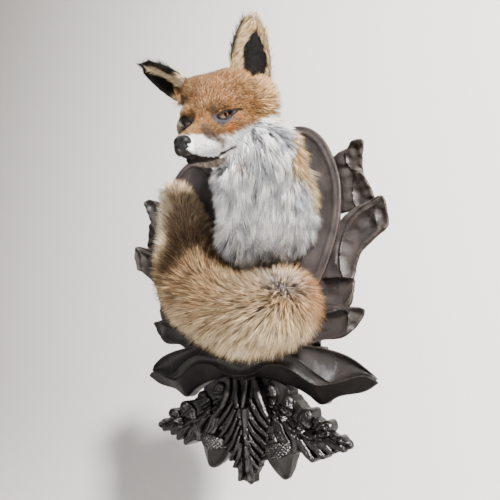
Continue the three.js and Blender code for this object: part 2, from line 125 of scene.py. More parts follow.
def taper(p, a, ra, b, rb):
    """A round rod from a to b, with its radius at each end."""
    a = np.array(a, float)
    ba = np.array(b, float) - a
    pa = p - a
    h = np.clip(pa @ ba / (ba @ ba), 0, 1)
    return np.linalg.norm(pa - h[:, None] * ba, axis=-1) - mix(ra, rb, h)


def join(a, b, k):
    """a and b together, with the corner between them filled by k."""
    h = np.clip(0.5 + 0.5 * (b - a) / k, 0, 1)
    return mix(b, a, h) - k * h * (1 - h)


def cut(a, b, k):
    """a with b taken away, with an edge rounded by k."""
    return -join(-a, b, k)


def mirrored(q):
    """The right side folded over on the left."""
    m = q.copy()
    m[:, 1] = np.abs(m[:, 1])
    return m


SKULL = ([-36, 6, 6], [48, 42, 44])
# what the coat fills out over the skull: centre, radii, how softly it joins. The left side is fuller.
HEAD_SWELLS = [
    ([-18, 21, -17], [30, 21, 25], 14),  # left cheek
    ([-24, -14, -15], [30, 20, 23], 14),  # right cheek
    ([-32, 25, 28], [24, 24, 22], 10),  # root of the left ear
    ([-30, -15, 27], [24, 20, 22], 10),  # root of the right ear
    ([-54, 41, -17], [34, 31, 38], 14),  # left ruff
    ([-50, 46, 10], [27, 27, 30], 10),  # left ruff, higher up
    ([-52, -26, -14], [28, 24, 28], 14),  # right ruff
    ([-26, 0, -32], [38, 29, 24], 14),  # throat
]


def coat_head(q):
    """The head to the tips of its coat."""
    d = ellipsoid(q, *SKULL)
    for centre, radii, softness in HEAD_SWELLS:
        d = join(d, ellipsoid(q, centre, radii), softness)
    return join(d, taper(q, [4, 0, -19], 19, [63, 0, -30.5], 12.3), 12)


def coat_jaw(m):
    return taper(m, [0, 0, -38], 17, [53, 0, -42], 7.5)


# the neck's middle line and its radius with the coat
NECK = [([116, -142, 80], 57), ([99, -106, 53], 61), ([82, -60, 33], 60)]
CHEST_LOBE = ([52, -78, 19], [49, 41, 52])

# the tail's middle line and its radius with the coat, from the root to the tip
TAIL = [
    [101, -64, -76, 44],
    [106, -88, -86, 50],
    [86, -96, -92, 52],
    [52, -97, -94, 51],
    [10, -95, -76, 52],
    [-31, -90, -44, 54],
    [-59, -80, 6, 45],
    [-75, -72, 56, 34],
    [-97, -66, 101, 22],
]


def neck_field(p):
    d = None
    for (a, ra), (b, rb) in zip(NECK, NECK[1:]):
        piece = taper(p, a, ra, b, rb)
        d = piece if d is None else join(d, piece, 16)
    return join(d, ellipsoid(p, *CHEST_LOBE), 16)


def curved(a, b, c, d, t):
    """The place a share t of the way from b to c, on the Catmull-Rom curve through all four."""
    bend = 2 * a - 5 * b + 4 * c - d
    turn = 3 * b - a - 3 * c + d
    return b + 0.5 * t * (c - a + t * (bend + t * turn))


def open_curve(points, steps=6):
    """Smooth open line through points."""
    rows = np.array(points, float)
    ends = np.vstack([rows[:1], rows, rows[-1:]])
    t = (np.arange(steps) / steps)[:, None]
    out = [curved(*four, t) for four in zip(ends, ends[1:], ends[2:], ends[3:])]
    return np.vstack([*out, rows[-1:]])


def closed_curve(points, steps=4):
    """Smooth closed outline through points."""
    p = np.array(points, float)
    before, after, later = (np.roll(p, k, axis=0) for k in (1, -1, -2))
    out = [curved(before, p, after, later, t) for t in np.arange(steps) / steps]
    return np.stack(out, 1).reshape(-1, 2)


TAIL_CURVE = open_curve(TAIL, 5)


def tail_nearest(p):
    """Distance to the coat, place along the tail (0 root, 1 tip), and the curve's point and heading."""
    best = np.full(len(p), NO_GAP_YET)
    along = np.zeros(len(p))
    centre = np.zeros((len(p), 3))
    heading = np.zeros((len(p), 3))
    count = len(TAIL_CURVE) - 1
    for i, (a, b) in enumerate(zip(TAIL_CURVE, TAIL_CURVE[1:])):
        ba = b[:3] - a[:3]
        pa = p - a[:3]
        h = np.clip(pa @ ba / (ba @ ba), 0, 1)
        spot = a[:3] + h[:, None] * ba
        d = np.linalg.norm(p - spot, axis=-1) - mix(a[3], b[3], h)
        closer = d < best
        best[closer] = d[closer]
        along[closer] = (i + h[closer]) / count
        centre[closer] = spot[closer]
        heading[closer] = unit(ba)
    return best, along, centre, heading


# ---- how deep the coat is: on the head by the place along it, in the head's own millimetres ----
DEPTH_AT = [-95, -60, -35, -10, 10, 30, 60, 80]
DEPTH = [15, 14, 9.5, 5.5, 3.6, 2.4, 1.4, 1.0]
NECK_DEPTH = 17.0
TAIL_DEPTH = 21.0
TAIL_TIP_DEPTH = 0.62  # share of it at the tip


def head_depth(m):
    d = np.interp(m[:, 0], DEPTH_AT, DEPTH)
    crown = step(m[:, 2], 15, 30)
    ruff = step(m[:, 1], 34, 50) * step(m[:, 0], 0, -30) * step(m[:, 2], 12, -8)
    throat = step(m[:, 2], -46, -60) * step(m[:, 0], 40, 5)
    return d * (1 - 0.35 * crown) + 4.0 * ruff + 5.0 * throat


# ---- eyes, in the head frame ----
EYE_RADIUS = 9.3
EYE_CENTRE = np.array([-5.0, 16.0, -3.4])
EYE_LOOK = unit(np.array([0.7, 0.71, 0.08]))
EYE_OUTWARD = unit(np.array([-0.69, 0.66, 0.24]))  # from the inner to the outer corner
EYE_UP = unit(np.cross(EYE_OUTWARD, EYE_LOOK))
EYE_UP = EYE_UP * np.sign(EYE_UP[2])
LID = 1.5  # thickness
LID_HALF_WIDTH = 8.6
UPPER_LID = 1.9
LOWER_LID = 3.0


def eye_place(m):
    """Across, up and out from the eye's middle."""
    d = m - EYE_CENTRE
    return d @ EYE_OUTWARD, d @ EYE_UP, d @ EYE_LOOK


def eye_opening(m):
    """Below 0 inside the almond between the lids."""
    across, up, out = eye_place(m)
    share = np.clip(1 - (across / LID_HALF_WIDTH) ** 2, -1, 1)
    top = UPPER_LID * share - up
    bottom = up + LOWER_LID * share
    return np.maximum(-np.minimum(top, bottom), 3.0 - out)


# the line between the lips, on the skin
MOUTH_LINE = [
    [73.5, 0.7, -37.2],
    [68, 6, -40],
    [48, 9, -42.3],
    [30, 11.5, -43.3],
    [20, 12, -42.4],
    [11.6, 11.5, -41.5],
    [4.1, 12.5, -39.9],
    [-0.5, 16, -38.3],
    [-2.0, 21.7, -36.4],
    [-2.8, 24.5, -35.7],
]


# the bare head's own swellings, given as HEAD_SWELLS is
FACE_SWELLS = [
    ([-7, 18, 9], [13, 12, 6], 8),  # left brow
    ([-9, -17, 6], [14, 11.5, 6], 9),  # right brow
    ([-10, 33, -12], [14, 8, 8], 7),  # left cheekbone
    ([-8, -27.5, -6], [11, 7, 9], 5),  # right cheekbone
]


def face(q):
    """The bare head: coat depth taken off, then brows, cheekbones, lids, lips and the mouth's line."""
    m = mirrored(q)
    d = coat_head(q) + head_depth(m)
    d = join(d, coat_jaw(m) + head_depth(m), 2.2)
    for centre, radii, softness in FACE_SWELLS:
        d = join(d, ellipsoid(q, centre, radii), softness)
    d = join(d, taper(m, [60, 8, -34], 4.5, [26, 15, -31.5], 5.5), 4)
    d = cut(d, ellipsoid(m, EYE_CENTRE + EYE_LOOK * 14.5, [6.5, 13, 8]), 3)
    d = join(d, ellipsoid(m, EYE_CENTRE, [EYE_RADIUS + LID] * 3), 2.5)
    d = cut(d, eye_opening(m), 0.8)
    slit = np.full(len(m), NO_GAP_YET)
    for a, b in zip(MOUTH_LINE, MOUTH_LINE[1:]):
        slit = np.minimum(slit, taper(m, a, 2.0, b, 2.0))
    return cut(d, slit, 1.2)


# ---- ears: inner base, outer base, tip, the way the cup opens ----
EARS = {
    "left": ([-30, 25, 45], [-56, 62, 17], [-80, 51, 108], [0.72, 0.62, 0.3]),
    "right": ([-30, -24, 46], [-47, -50, 27], [-80, -101, 87], [0.86, -0.2, -0.1]),
}
# how wide an ear is by the place up it, as a share of its base
EAR_UP = [-0.35, -0.12, 0.06, 0.22, 0.38, 0.54, 0.7, 0.86, 1.0]
EAR_SPREAD = [0.5, 0.8, 0.95, 1.0, 0.98, 0.9, 0.76, 0.58, 0.3]
EAR_CUP = 15.0  # depth of the cup
EAR_SKIN = 1.7  # half the ear's thickness
EAR_SET_BACK = 1.32  # how far the skin lies behind the coat's middle sheet


def ear_place(q, side):
    """Across (-1 inner edge, 1 outer edge), up (0 base, 1 tip), height over the ear's middle sheet, half
    its width there, and the way from its base to its tip."""
    inner, outer, tip, opening = (np.array(v, float) for v in EARS[side])
    root = (inner + outer) / 2
    half = (outer - inner) / 2
    rise = tip - root
    out = unit(opening)
    basis = np.linalg.inv(np.array([half, rise, out]))
    across, up, height = ((q - root) @ basis).T
    spread = np.interp(up, EAR_UP, EAR_SPREAD)
    s = across / spread
    cup = EAR_CUP * spread * (1 - 0.7 * step(up, 0.45, 1.0))
    bend = -cup * (1 - np.clip(s, -1.2, 1.2) ** 2) - EAR_SET_BACK
    slope = 2 * cup * np.abs(np.clip(s, -1, 1)) / np.linalg.norm(half)
    return s, up, (height - bend) / np.sqrt(1 + slope**2), np.linalg.norm(half) * spread, rise


def ear_field(q, side):
    s, up, height, half, rise = ear_place(q, side)
    thick = EAR_SKIN * mix(1.0, 0.75, np.clip(np.abs(s), 0, 1))
    sheet = np.abs(height) - thick
    edge = (np.abs(s) - 0.94) * half
    top = (up - 0.97 + 0.09 * s**2) * np.linalg.norm(rise)
    base = (-0.3 - up) * np.linalg.norm(rise)
    return np.maximum(np.maximum(sheet, edge), np.maximum(top, base))


def body_field(p):
    q = to_head(p)
    d = face(q) * HEAD_SCALE
    d = join(d, neck_field(p) + NECK_DEPTH, 12)
    for side in EARS:
        d = join(d, ear_field(q, side) * HEAD_SCALE, 7)
    return np.maximum(d, p[:, 1] + PANEL_FRONT - SUNK)


TAIL_PARTING = [116, -97, -60]  # where the coat parts at the end of the curl
# the hollow where the tail folds on itself
FOLD = [[60, -112, -36], [72, -138, -54], [86, -148, -74]]
FOLD_WIDTHS = (24, 20)


def tail_field(p):
    d, along, _, _ = tail_nearest(p)
    depth = TAIL_DEPTH * mix(1.0, TAIL_TIP_DEPTH, step(along, 0.72, 1.0))
    d = d + depth
    for (a, b), width in zip(zip(FOLD, FOLD[1:]), FOLD_WIDTHS):
        d = cut(d, taper(p, a, width, b, width - 2), 3)
    return np.maximum(d, p[:, 1] + PANEL_FRONT - SUNK)


# ---- closed skins from fields ----
BLOCK = 8  # voxels along the side of a block
BLOCKS_AT_ONCE = 400


def cells(counts):
    """Every whole-number place in a box with these counts, as rows."""
    return np.stack(np.meshgrid(*map(np.arange, counts), indexing="ij"), -1).reshape(-1, 3)


def field_mesh(name, field, low, high, voxel, adaptivity=0.0):
    """Mesh of field = 0 in metres. Only blocks near the surface are measured finely."""
    low = np.array(low, float)
    counts = np.ceil((np.array(high) - low) / (voxel * BLOCK)).astype(int)
    corner = cells(counts)
    span = voxel * BLOCK
    middle = field(low + (corner + 0.5) * span - voxel / 2)
    reach = span * 0.5 * math.sqrt(3) * 1.25 + 2 * voxel
    far = 3 * voxel
    values = np.empty(tuple(counts * BLOCK), np.float32)
    blocks = values.reshape(counts[0], BLOCK, counts[1], BLOCK, counts[2], BLOCK)
    blocks = blocks.transpose(0, 2, 4, 1, 3, 5)
    local = cells([BLOCK] * 3)
    near = np.abs(middle) < reach
    fill = np.where(middle < 0, -far, far)
    blocks[:] = fill.reshape(*counts, 1, 1, 1)
    chosen = corner[near]
    for start in range(0, len(chosen), BLOCKS_AT_ONCE):
        some = chosen[start : start + BLOCKS_AT_ONCE]
        points = low + (some[:, None, :] * BLOCK + local[None]) * voxel
        found = field(points.reshape(-1, 3)).reshape(len(some), BLOCK, BLOCK, BLOCK)
        blocks[some[:, 0], some[:, 1], some[:, 2]] = np.clip(found, -far, far)
    grid = openvdb.FloatGrid(far)
    grid.copyFromArray(values)
    points, triangles, quads = grid.convertToPolygons(isovalue=0.0, adaptivity=adaptivity)
    mesh = bpy.data.meshes.new(name)
    mesh.from_pydata((low + points * voxel) * MM, [], [*triangles.tolist(), *quads.tolist()])
    mesh.shade_smooth()
    return mesh


def show(name, mesh, material):
    """A piece in the scene with one material, riding on the root."""
    piece = bpy.data.objects.new(name, mesh)
    bpy.context.collection.objects.link(piece)
    mesh.materials.clear()
    mesh.materials.append(material)
    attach(piece, "root")
    return piece


def mesh_rows(source, field, kind=np.float32):
    """The three numbers that each item of a mesh has in a field."""
    rows = np.empty(len(source) * 3, kind)
    source.foreach_get(field, rows)
    return rows.reshape(-1, 3)


def points_and_normals(mesh):
    """Each vertex's place in millimetres, and its normal."""
    places = mesh_rows(mesh.vertices, "co").astype(float) / MM
    return places, mesh_rows(mesh.vertex_normals, "vector").astype(float)


def paint(mesh, name, colours):
    """One colour for each vertex, kept as a named attribute."""
    rows = np.ones((len(colours), 4), np.float32)
    rows[:, :3] = colours
    mesh.attributes.new(name, "FLOAT_COLOR", "POINT").data.foreach_set("color", rows.ravel())


# ---- colours of the coat, as the eye sees them ----
TAN = np.array([0.50, 0.35, 0.20])
RUST = np.array([0.63, 0.34, 0.13])
SAND = np.array([0.70, 0.56, 0.38])
CREAM = np.array([0.87, 0.79, 0.65])
WHITE = np.array([0.95, 0.965, 0.98])
SMOKE = np.array([0.54, 0.55, 0.60])
UMBER = np.array([0.30, 0.205, 0.135])
SOOT = np.array([0.035, 0.03, 0.028])
WHISKER_BED = np.array([0.27, 0.215, 0.185])
JAW = np.array([0.35, 0.30, 0.26])
LID_SKIN = np.array([0.23, 0.25, 0.295])


def linear(c):
    """Colours as the eye sees them to amounts of light."""
    c = np.asarray(c, float)
    return np.where(c < 0.04045, c / 12.92, ((np.maximum(c, 0) + 0.055) / 1.055) ** 2.4)


def tint(base, other, share):
    """Colours of base with a share of other laid over them."""
    share = np.broadcast_to(np.clip(share, 0, 1), len(base))
    return mix(base, np.asarray(other), share[:, None])


def wash(colour, *layers):
    """Colours laid over one another in turn: each layer is a colour and its share."""
    for other, share in layers:
        colour = tint(colour, other, share)
    return colour


def blob(m, centre, reach):
    """1 at the centre, fading to 0 at reach."""
    return step(np.linalg.norm((m - np.array(centre)) / np.array(reach), axis=1), 1.0, 0.35)


# the lower edge of the tan coat: its height by the place across
WHITE_EDGE_ACROSS = [0, 24, 39, 50, 60, 70, 80]
WHITE_EDGE_HEIGHT = [-21.5, -21.5, -15, -6, 2, -3, -10]


def mouth_gap(m):
    """Distance to the line between the lips, seen nearly from the side."""
    gap = np.full(len(m), NO_GAP_YET)
    flat = np.array([1, 0.35, 1])
    for a, b in zip(MOUTH_LINE, MOUTH_LINE[1:]):
        gap = np.minimum(gap, taper(m * flat, a * flat, 0, b * flat, 0))
    return gap


# soft patches of the face: colour, strength, centre, reach
FACE_PATCHES = [
    (SAND, 0.3, [45, 0, -16], [26, 9, 9]),  # bridge of the nose
    (RUST * 0.97, 0.95, [15, 27, -15], [15, 12, 8]),  # cheek below the eye
    (RUST, 0.6, [22, 9, -5], [14, 8, 9]),  # beside the bridge
    (SAND * 0.95, 0.5, [-24, 42, 30], [22, 24, 22]),  # foot of the ear
    (UMBER * 1.2, 0.55, [-16, 20, 42], [16, 10, 13]),  # crown
    (UMBER * 1.2, 0.5, [2, 6, 33], [16, 9, 14]),  # forehead
    (UMBER * 1.3, 0.3, [12, 10, 12], [12, 8, 9]),  # brow
]


def face_ground(q, m, fleck):
    """The tan coat with its patches and the white below it, and how white each place is."""
    x, y, z = m.T
    colour = wash(
        np.tile(TAN * 0.88, (len(q), 1)),
        (RUST, 0.12 + 0.24 * ripple(q, 26, 1)),
        (SAND, np.clip(step(x, -25, -60) * 0.6 + step(y, 36, 54) * 0.7, 0, 0.9)),
        *((patch, strength * blob(m, centre, reach)) for patch, strength, centre, reach in FACE_PATCHES),
        (UMBER * 1.3, (0.5 + 0.25 * fleck) * step(z, 4, 18) * step(y, 46, 30)),
    )
    edge = np.interp(y, WHITE_EDGE_ACROSS, WHITE_EDGE_HEIGHT) + 2.0 * fleck
    white = step(z, edge + 2.0, edge - 2.5) * step(x, -60, -30)
    white = np.maximum(white, step(z, -28, -40) * step(x, 40, 20))
    return tint(colour, WHITE, white), white


WHISKERS = ([42, 14, -19], [16, 18, -31])  # front and back of the whisker bed
LIP_AT = [30, 48, 68, 74]
LIP_HEIGHT = [-43.3, -42.3, -40, -37.2]


def muzzle_marks(colour, q, m, fleck):
    """Whisker bed and its specks, grey jaw, dark chin and lips, and painted shade under the nose and
    beside it on the right.
    """
    x, y, z = m.T
    bed = taper(m, WHISKERS[0], 0, WHISKERS[1], 0)
    speck = step(ripple(q, 2.6, 7), 0.15, 0.6) * blob(m, [30, 14, -34], [24, 9, 10])
    lip = np.interp(x, LIP_AT, LIP_HEIGHT)
    below = step(z, lip + 1, lip - 1)
    chin = below * step(x, 28, 40) * np.maximum(step(z, -46.6, -45), step(x, 54, 62))
    jaw = below * step(x, -14, 0) * step(y, 46, 36)
    corner = step(x, 12, 2)
    # painted shade under the nose, and beside it on the right side, away from the light
    shade_under_nose = step(z, -33, -36) * step(x, 62, 66) * step(q[:, 1], 5.5, 3.5)
    shade_beside_nose = (q[:, 1] < -4) * step(x, 62, 66) * step(z, -24, -27)
    return wash(
        colour,
        (WHISKER_BED, (0.92 + 0.3 * fleck) * step(bed, 10, 4.5)),
        (WHISKER_BED * 1.25, 0.6 * blob(m, [31, 9, -12], [13, 7, 8])),
        (UMBER * 1.3, 0.75 * blob(m, [10, 10, 3], [8, 5, 7])),
        (SMOKE * 0.75, 0.45 * speck),
        (JAW, (0.75 + 0.3 * fleck) * jaw),
        (UMBER * 0.2, chin),
        (UMBER * 0.25, step(mouth_gap(m), 2.3, 1.3) * (0.97 - 0.15 * corner)),
        (UMBER * 0.3, 0.95 * np.maximum(shade_under_nose, shade_beside_nose)),
    )


def eye_marks(colour, m):
    """Grey skin under the eye and in its inner corner, and the black rim with its outer streak."""
    across, up, out = eye_place(m)
    near_eye = out > 0
    under = step(up, 2.5, 0.5) * step(up, -10.5, -7) * step(across, -16, -12) * step(across, 8, 1)
    inner = step(np.hypot((across + 12) / 6.5, (up + 1) / 5.5), 1.2, 0.6)
    above = step(up, 0.5, 3) * step(np.hypot(across + 11, up - 5), 7, 3)
    rim = step(np.hypot(across / 11, (up + 0.5) / 4.6), 1.12, 0.95) * (out > 1)
    streak = step(np.abs(up - 2.0 + 0.16 * across), 2.0, 0.8) * step(across, -6, -2) * step(across, 20, 15)
    return wash(
        colour,
        (LID_SKIN, 0.92 * np.maximum(under, inner) * near_eye),
        (UMBER * 0.7, 0.75 * near_eye * above),
        (UMBER * 0.25, np.maximum(rim, 0.95 * streak * (out > -6))),
    )


def right_socket(colour, q):
    """The right eye lies in a hollow darkened with painted shade, with paler fuzz below and above."""
    shade = blob(q, [1, -22, -5], [16, 12, 14])
    return wash(
        colour,
        # painted shade over the right eye, on the side turned away from the light
        (UMBER * 0.25, 0.97 * np.clip(shade * 1.6, 0, 1)),
        (CREAM * 0.45, 0.75 * blob(q, [-5, -31, -4], [14, 8, 16])),
        (CREAM * 0.8, 0.8 * blob(q, [-4, -25, 12], [16, 12, 12])),
    )


def head_tints(q):
    """Root, middle and tip colours of the head's coat at points in the head frame."""
    m = mirrored(q)
    fleck = ripple(q, 7, 2)
    colour, white = face_ground(q, m, fleck)
    colour = muzzle_marks(colour, q, m, fleck)
    colour = right_socket(eye_marks(colour, m), q)
    pale = white * step(colour.min(axis=1), 0.55, 0.8)
    root = wash(colour * 0.55, (SMOKE * 0.7, 0.4 + 0.3 * fleck), (WHITE * 0.85, 0.5 * pale))
    tip = tint(colour * 1.05, SAND, 0.12 * (1 - white) + 0.1 * fleck)
    return root, colour, tip


# ---- materials ----
def node_tree(name):
    """A material with one shader: the material, its tree and the shader."""
    material = bpy.data.materials.new(name)
    material.use_nodes = True
    nodes = material.node_tree.nodes
    nodes.clear()
    shader = nodes.new("ShaderNodeBsdfPrincipled")
    out = nodes.new("ShaderNodeOutputMaterial")
    material.node_tree.links.new(shader.outputs["BSDF"], out.inputs["Surface"])
    return material, material.node_tree, shader


def feed(tree, made, values):
    """Link a socket, or set a value, at each named input of a node."""
    for key, value in values.items():
        if isinstance(value, bpy.types.NodeSocket):
            tree.links.new(value, made.inputs[key])
        else:
            made.inputs[key].default_value = value


def node(tree, kind, values=None, **fields):
    made = tree.nodes.new(kind if "Node" in kind else "ShaderNode" + kind)
    for key, value in fields.items():
        setattr(made, key, value)
    feed(tree, made, values or {})
    return made


def noise(tree, place, scale, detail, roughness=0.5):
    values = {"Vector": place, "Scale": scale, "Detail": detail, "Roughness": roughness}
    return node(tree, "TexNoise", values).outputs["Fac"]


def maths(tree, operation, a, b=0.0):
    return node(tree, "Math", {0: a, 1: b}, operation=operation).outputs[0]


def ramp(tree, value, low=0.0, high=1.0, first=0.0, last=1.0, kind="LINEAR"):
    """first where value is low, last where it is high."""
    values = {"Value": value, "From Min": low, "From Max": high, "To Min": first, "To Max": last}
    return node(tree, "MapRange", values, interpolation_type=kind).outputs["Result"]


def blend(tree, share, a, b):
    """Colour a where share is 0, b where it is 1."""
    return node(tree, "Mix", {0: share, 6: a, 7: b}, data_type="RGBA").outputs[2]


def scaled(tree, colour, share):
    return node(tree, "VectorMath", {0: colour, "Scale": share}, operation="SCALE").outputs["Vector"]


def two_tones(tree, value, low, dark, high, light):
    """dark where value is under low, light where it is over high."""
    made = node(tree, "ValToRGB", {"Fac": value})
    ends = made.color_ramp.elements
    ends[0].position = low
    ends[0].color = dark
    ends[1].position = high
    ends[1].color = light
    return made.outputs["Color"]


def bump(tree, height, strength, distance):
    values = {"Height": height, "Strength": strength, "Distance": distance}
    return node(tree, "Bump", values).outputs["Normal"]


def coat_material(name):
    """Matt hair in the colours of the coat attribute, with fine specks."""
    material, tree, shader = node_tree(name)
    painted = node(tree, "Attribute", attribute_name="coat").outputs["Color"]
    place = node(tree, "TexCoord").outputs["Object"]
    speck = noise(tree, place, 900.0, 2.0)
    feed(tree, shader, {
        "Base Color": scaled(tree, painted, ramp(tree, speck, first=0.82, last=1.18)),
        "Normal": bump(tree, speck, 0.25, 0.0006),
        "Roughness": 0.8,
        "Specular IOR Level": 0.12,
    })
    return material


# ---- skins ----
def build_skins():
    body = field_mesh("skin_body", body_field, *BODY_BOX, SKIN_VOXEL, 0.02)
    body_piece = show("skin_body", body, coat_material("face_coat"))
    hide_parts("head", "lower_jaw", "neck", "chest", "ear_left", "ear_right")
    tail = field_mesh("skin_tail", tail_field, *TAIL_BOX, TAIL_VOXEL)
    tail_piece = show("skin_tail", tail, coat_material("tail_coat"))
    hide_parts("tail_root", "tail_foot", "tail_side", "tail_tip")
    return body, tail


# ---- tufts ----
def scatter(mesh, weight, count, seed):
    """count roots over a skin, thicker where weight(points) is high: places and normals in millimetres."""
    mesh.calc_loop_triangles()
    corners = mesh_rows(mesh.loop_triangles, "vertices", np.int32)
    points, normals = points_and_normals(mesh)
    a, b, c = (points[corners[:, k]] for k in range(3))
    area = np.linalg.norm(np.cross(b - a, c - a), axis=1) / 2
    share = area * np.maximum(weight((a + b + c) / 3), 0)
    ladder = np.cumsum(share)
    turn = np.random.default_rng(seed)
    picks = (np.arange(count) + turn.random(count)) / count * ladder[-1]
    chosen = np.minimum(np.searchsorted(ladder, picks), len(ladder) - 1)
    u, v = turn.random((2, count, 1))
    flip = u + v > 1
    u, v = np.where(flip, 1 - u, u), np.where(flip, 1 - v, v)
    ia, ib, ic = corners[chosen].T
    place = points[ia] + u * (points[ib] - points[ia]) + v * (points[ic] - points[ia])
    normal = unit(normals[ia] + u * (normals[ib] - normals[ia]) + v * (normals[ic] - normals[ia]))
    return place, normal


def locks(place, count, seed):
    """The leading tuft nearest to each one, count tufts to a lock."""
    leaders = np.random.default_rng(seed).random(len(place)) < 1.0 / np.asarray(count)
    chosen = np.flatnonzero(leaders)
    tree = KDTree(len(chosen))
    for i, j in enumerate(chosen):
        tree.insert(place[j], i)
    tree.balance()
    return np.array([chosen[tree.find(p)[1]] for p in place])


def gather(place, tip, near, share):
    """Tips drawn part of the way to the tip of their leading tuft."""
    gap = np.linalg.norm(place - place[near], axis=1)
    length = np.linalg.norm(tip - place, axis=1)
    pull = share * step(gap, length * 0.9, length * 0.2)
    return mix(tip, tip[near] + (place - place[near]) * 0.15, pull[:, None])


TUFT_BELLY = 1.6  # how much a tuft swells between its root and its tip


def tuft_tree():
    """Geometry Nodes: one curved lock at each root, coloured from root to tip."""
    tree = bpy.data.node_groups.new("tufts", "GeometryNodeTree")
    sockets = tree.interface
    sockets.new_socket("Geometry", in_out="INPUT", socket_type="NodeSocketGeometry")
    for name, kind in (("Sides", "NodeSocketInt"), ("Segments", "NodeSocketInt"),
                       ("Patch", "NodeSocketFloat"), ("Material", "NodeSocketMaterial")):
        sockets.new_socket(name, in_out="INPUT", socket_type=kind)
    sockets.new_socket("Geometry", in_out="OUTPUT", socket_type="NodeSocketGeometry")

    def add(kind, values=None, **fields):
        return node(tree, kind, values, **fields)

    def read(name, kind):
        return add("GeometryNodeInputNamedAttribute", {"Name": name}, data_type=kind).outputs["Attribute"]

    def store(geometry, name, value, kind, **fields):
        values = {"Geometry": geometry, "Name": name, "Value": value}
        return add("GeometryNodeStoreNamedAttribute", values, data_type=kind, **fields).outputs[0]

    inputs = add("NodeGroupInput").outputs
    cone = add("GeometryNodeMeshCone", {"Vertices": inputs["Sides"], "Side Segments": inputs["Segments"],
                                        "Radius Top": 0.0, "Radius Bottom": 0.5, "Depth": 1.0})
    spot = add("GeometryNodeInputPosition").outputs[0]
    height = add("SeparateXYZ", {0: spot}).outputs["Z"]
    across = add("SeparateXYZ", {0: spot}).outputs["X"]
    belly = maths(tree, "MULTIPLY", height, maths(tree, "SUBTRACT", 1.0, height))
    fuller = add("Math", {0: belly, 1: TUFT_BELLY, 2: 1.0}, operation="MULTIPLY_ADD").outputs[0]
    swell = add("CombineXYZ", {"X": fuller, "Y": fuller, "Z": 1.0}).outputs[0]
    shaped = add("VectorMath", {0: spot, 1: swell}, operation="MULTIPLY").outputs[0]
    marked = store(cone.outputs[0], "along", height, "FLOAT")
    marked = store(marked, "across", across, "FLOAT")
    lock = add("GeometryNodeSetPosition", {"Geometry": marked, "Position": shaped}).outputs[0]
    ways = {0: read("grow", "FLOAT_VECTOR"), 1: read("side", "FLOAT_VECTOR")}
    turn = add("FunctionNodeAxesToRotation", ways, primary_axis="Z", secondary_axis="X").outputs[0]
    placed = add("GeometryNodeInstanceOnPoints", {
        "Points": inputs["Geometry"],
        "Instance": lock,
        "Rotation": turn,
        "Scale": read("scale", "FLOAT_VECTOR"),
    })
    real = add("GeometryNodeRealizeInstances", {"Geometry": placed.outputs[0]}).outputs[0]
    along = read("along", "FLOAT")
    droop = scaled(tree, read("droop", "FLOAT_VECTOR"), maths(tree, "MULTIPLY", along, along))
    bent = add("GeometryNodeSetPosition", {"Geometry": real, "Offset": droop}).outputs[0]
    root, middle, tip = (read(name, "FLOAT_COLOR") for name in ("root_tint", "middle_tint", "tip_tint"))
    lower = blend(tree, ramp(tree, along, 0.0, 0.55), root, middle)
    colour = blend(tree, ramp(tree, along, 0.5, 1.0), lower, tip)
    coloured = store(bent, "coat", colour, "FLOAT_COLOR")
    patch = add("CombineXYZ", {"X": along, "Y": read("across", "FLOAT")}).outputs[0]
    patch = scaled(tree, patch, inputs["Patch"])
    unwrap = add("VectorMath", {0: read("root_uv", "FLOAT_VECTOR"), 1: patch}, operation="ADD").outputs[0]
    done = store(coloured, "OFBake", unwrap, "FLOAT2", domain="CORNER")
    for name in ("grow", "side", "scale", "droop", "root_tint", "middle_tint", "tip_tint", "root_uv",
                 "along", "across"):
        done = add("GeometryNodeRemoveAttribute", {"Geometry": done, "Name": name}).outputs[0]
    clothed = add("GeometryNodeSetMaterial", {"Geometry": done, "Material": inputs["Material"]})
    smooth = add("GeometryNodeSetShadeSmooth", {"Geometry": clothed.outputs[0]})
    out = add("NodeGroupOutput")
    tree.links.new(smooth.outputs[0], out.inputs[0])
    return tree


TUFTS = tuft_tree()


def tuft_input(name):
    """The identifier of the tree's input with this name."""
    return next(i.identifier for i in TUFTS.interface.items_tree
                if i.item_type == "SOCKET" and i.in_out == "INPUT" and i.name == name)


def grow_tufts(name, material, here, rows, tints):
    """One piece of coat from the tufts that are here. The rows are each one's root, its tip, the skin's
    normal, its width, how far its tip is drawn as the lock curves, and its root's place on the unwrap."""
    place, tip, flat, width, bend, unwrap = (r[here] for r in rows)
    straight = tip - place - bend
    side = np.cross(straight, flat)
    mesh = bpy.data.meshes.new(name)
    mesh.from_pydata(place * MM, [], [])
    count = len(place)

    def keep(label, kind, field, rows):
        made = mesh.attributes.new(label, kind, "POINT")
        made.data.foreach_set(field, np.asarray(rows, np.float32).ravel())

    keep("grow", "FLOAT_VECTOR", "vector", unit(straight))
    keep("side", "FLOAT_VECTOR", "vector", unit(side))
    scale = np.stack([width, width * 0.5, np.linalg.norm(straight, axis=1)], 1) * MM
    keep("scale", "FLOAT_VECTOR", "vector", scale)
    keep("droop", "FLOAT_VECTOR", "vector", bend * MM)
    keep("root_uv", "FLOAT_VECTOR", "vector", np.column_stack([unwrap, np.zeros(count)]))
    for label, colour in zip(("root_tint", "middle_tint", "tip_tint"), tints):
        keep(label, "FLOAT_COLOR", "color", np.column_stack([linear(colour[here]), np.ones(count)]))
    piece = bpy.data.objects.new(name, mesh)
    bpy.context.collection.objects.link(piece)
    modifier = piece.modifiers.new("tufts", "NODES")
    modifier.node_group = TUFTS
    modifier[tuft_input("Sides")] = TUFT_SIDES
    modifier[tuft_input("Segments")] = TUFT_SEGMENTS
    modifier[tuft_input("Patch")] = TUFT_PATCH
    modifier[tuft_input("Material")] = material
    graph = bpy.context.evaluated_depsgraph_get()
    made = bpy.data.meshes.new_from_object(piece.evaluated_get(graph), preserve_all_data_layers=True,
                                           depsgraph=graph)
    piece.modifiers.clear()
    piece.data = made
    made.name = name
    bpy.data.meshes.remove(mesh)
    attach(piece, "root")
    return piece


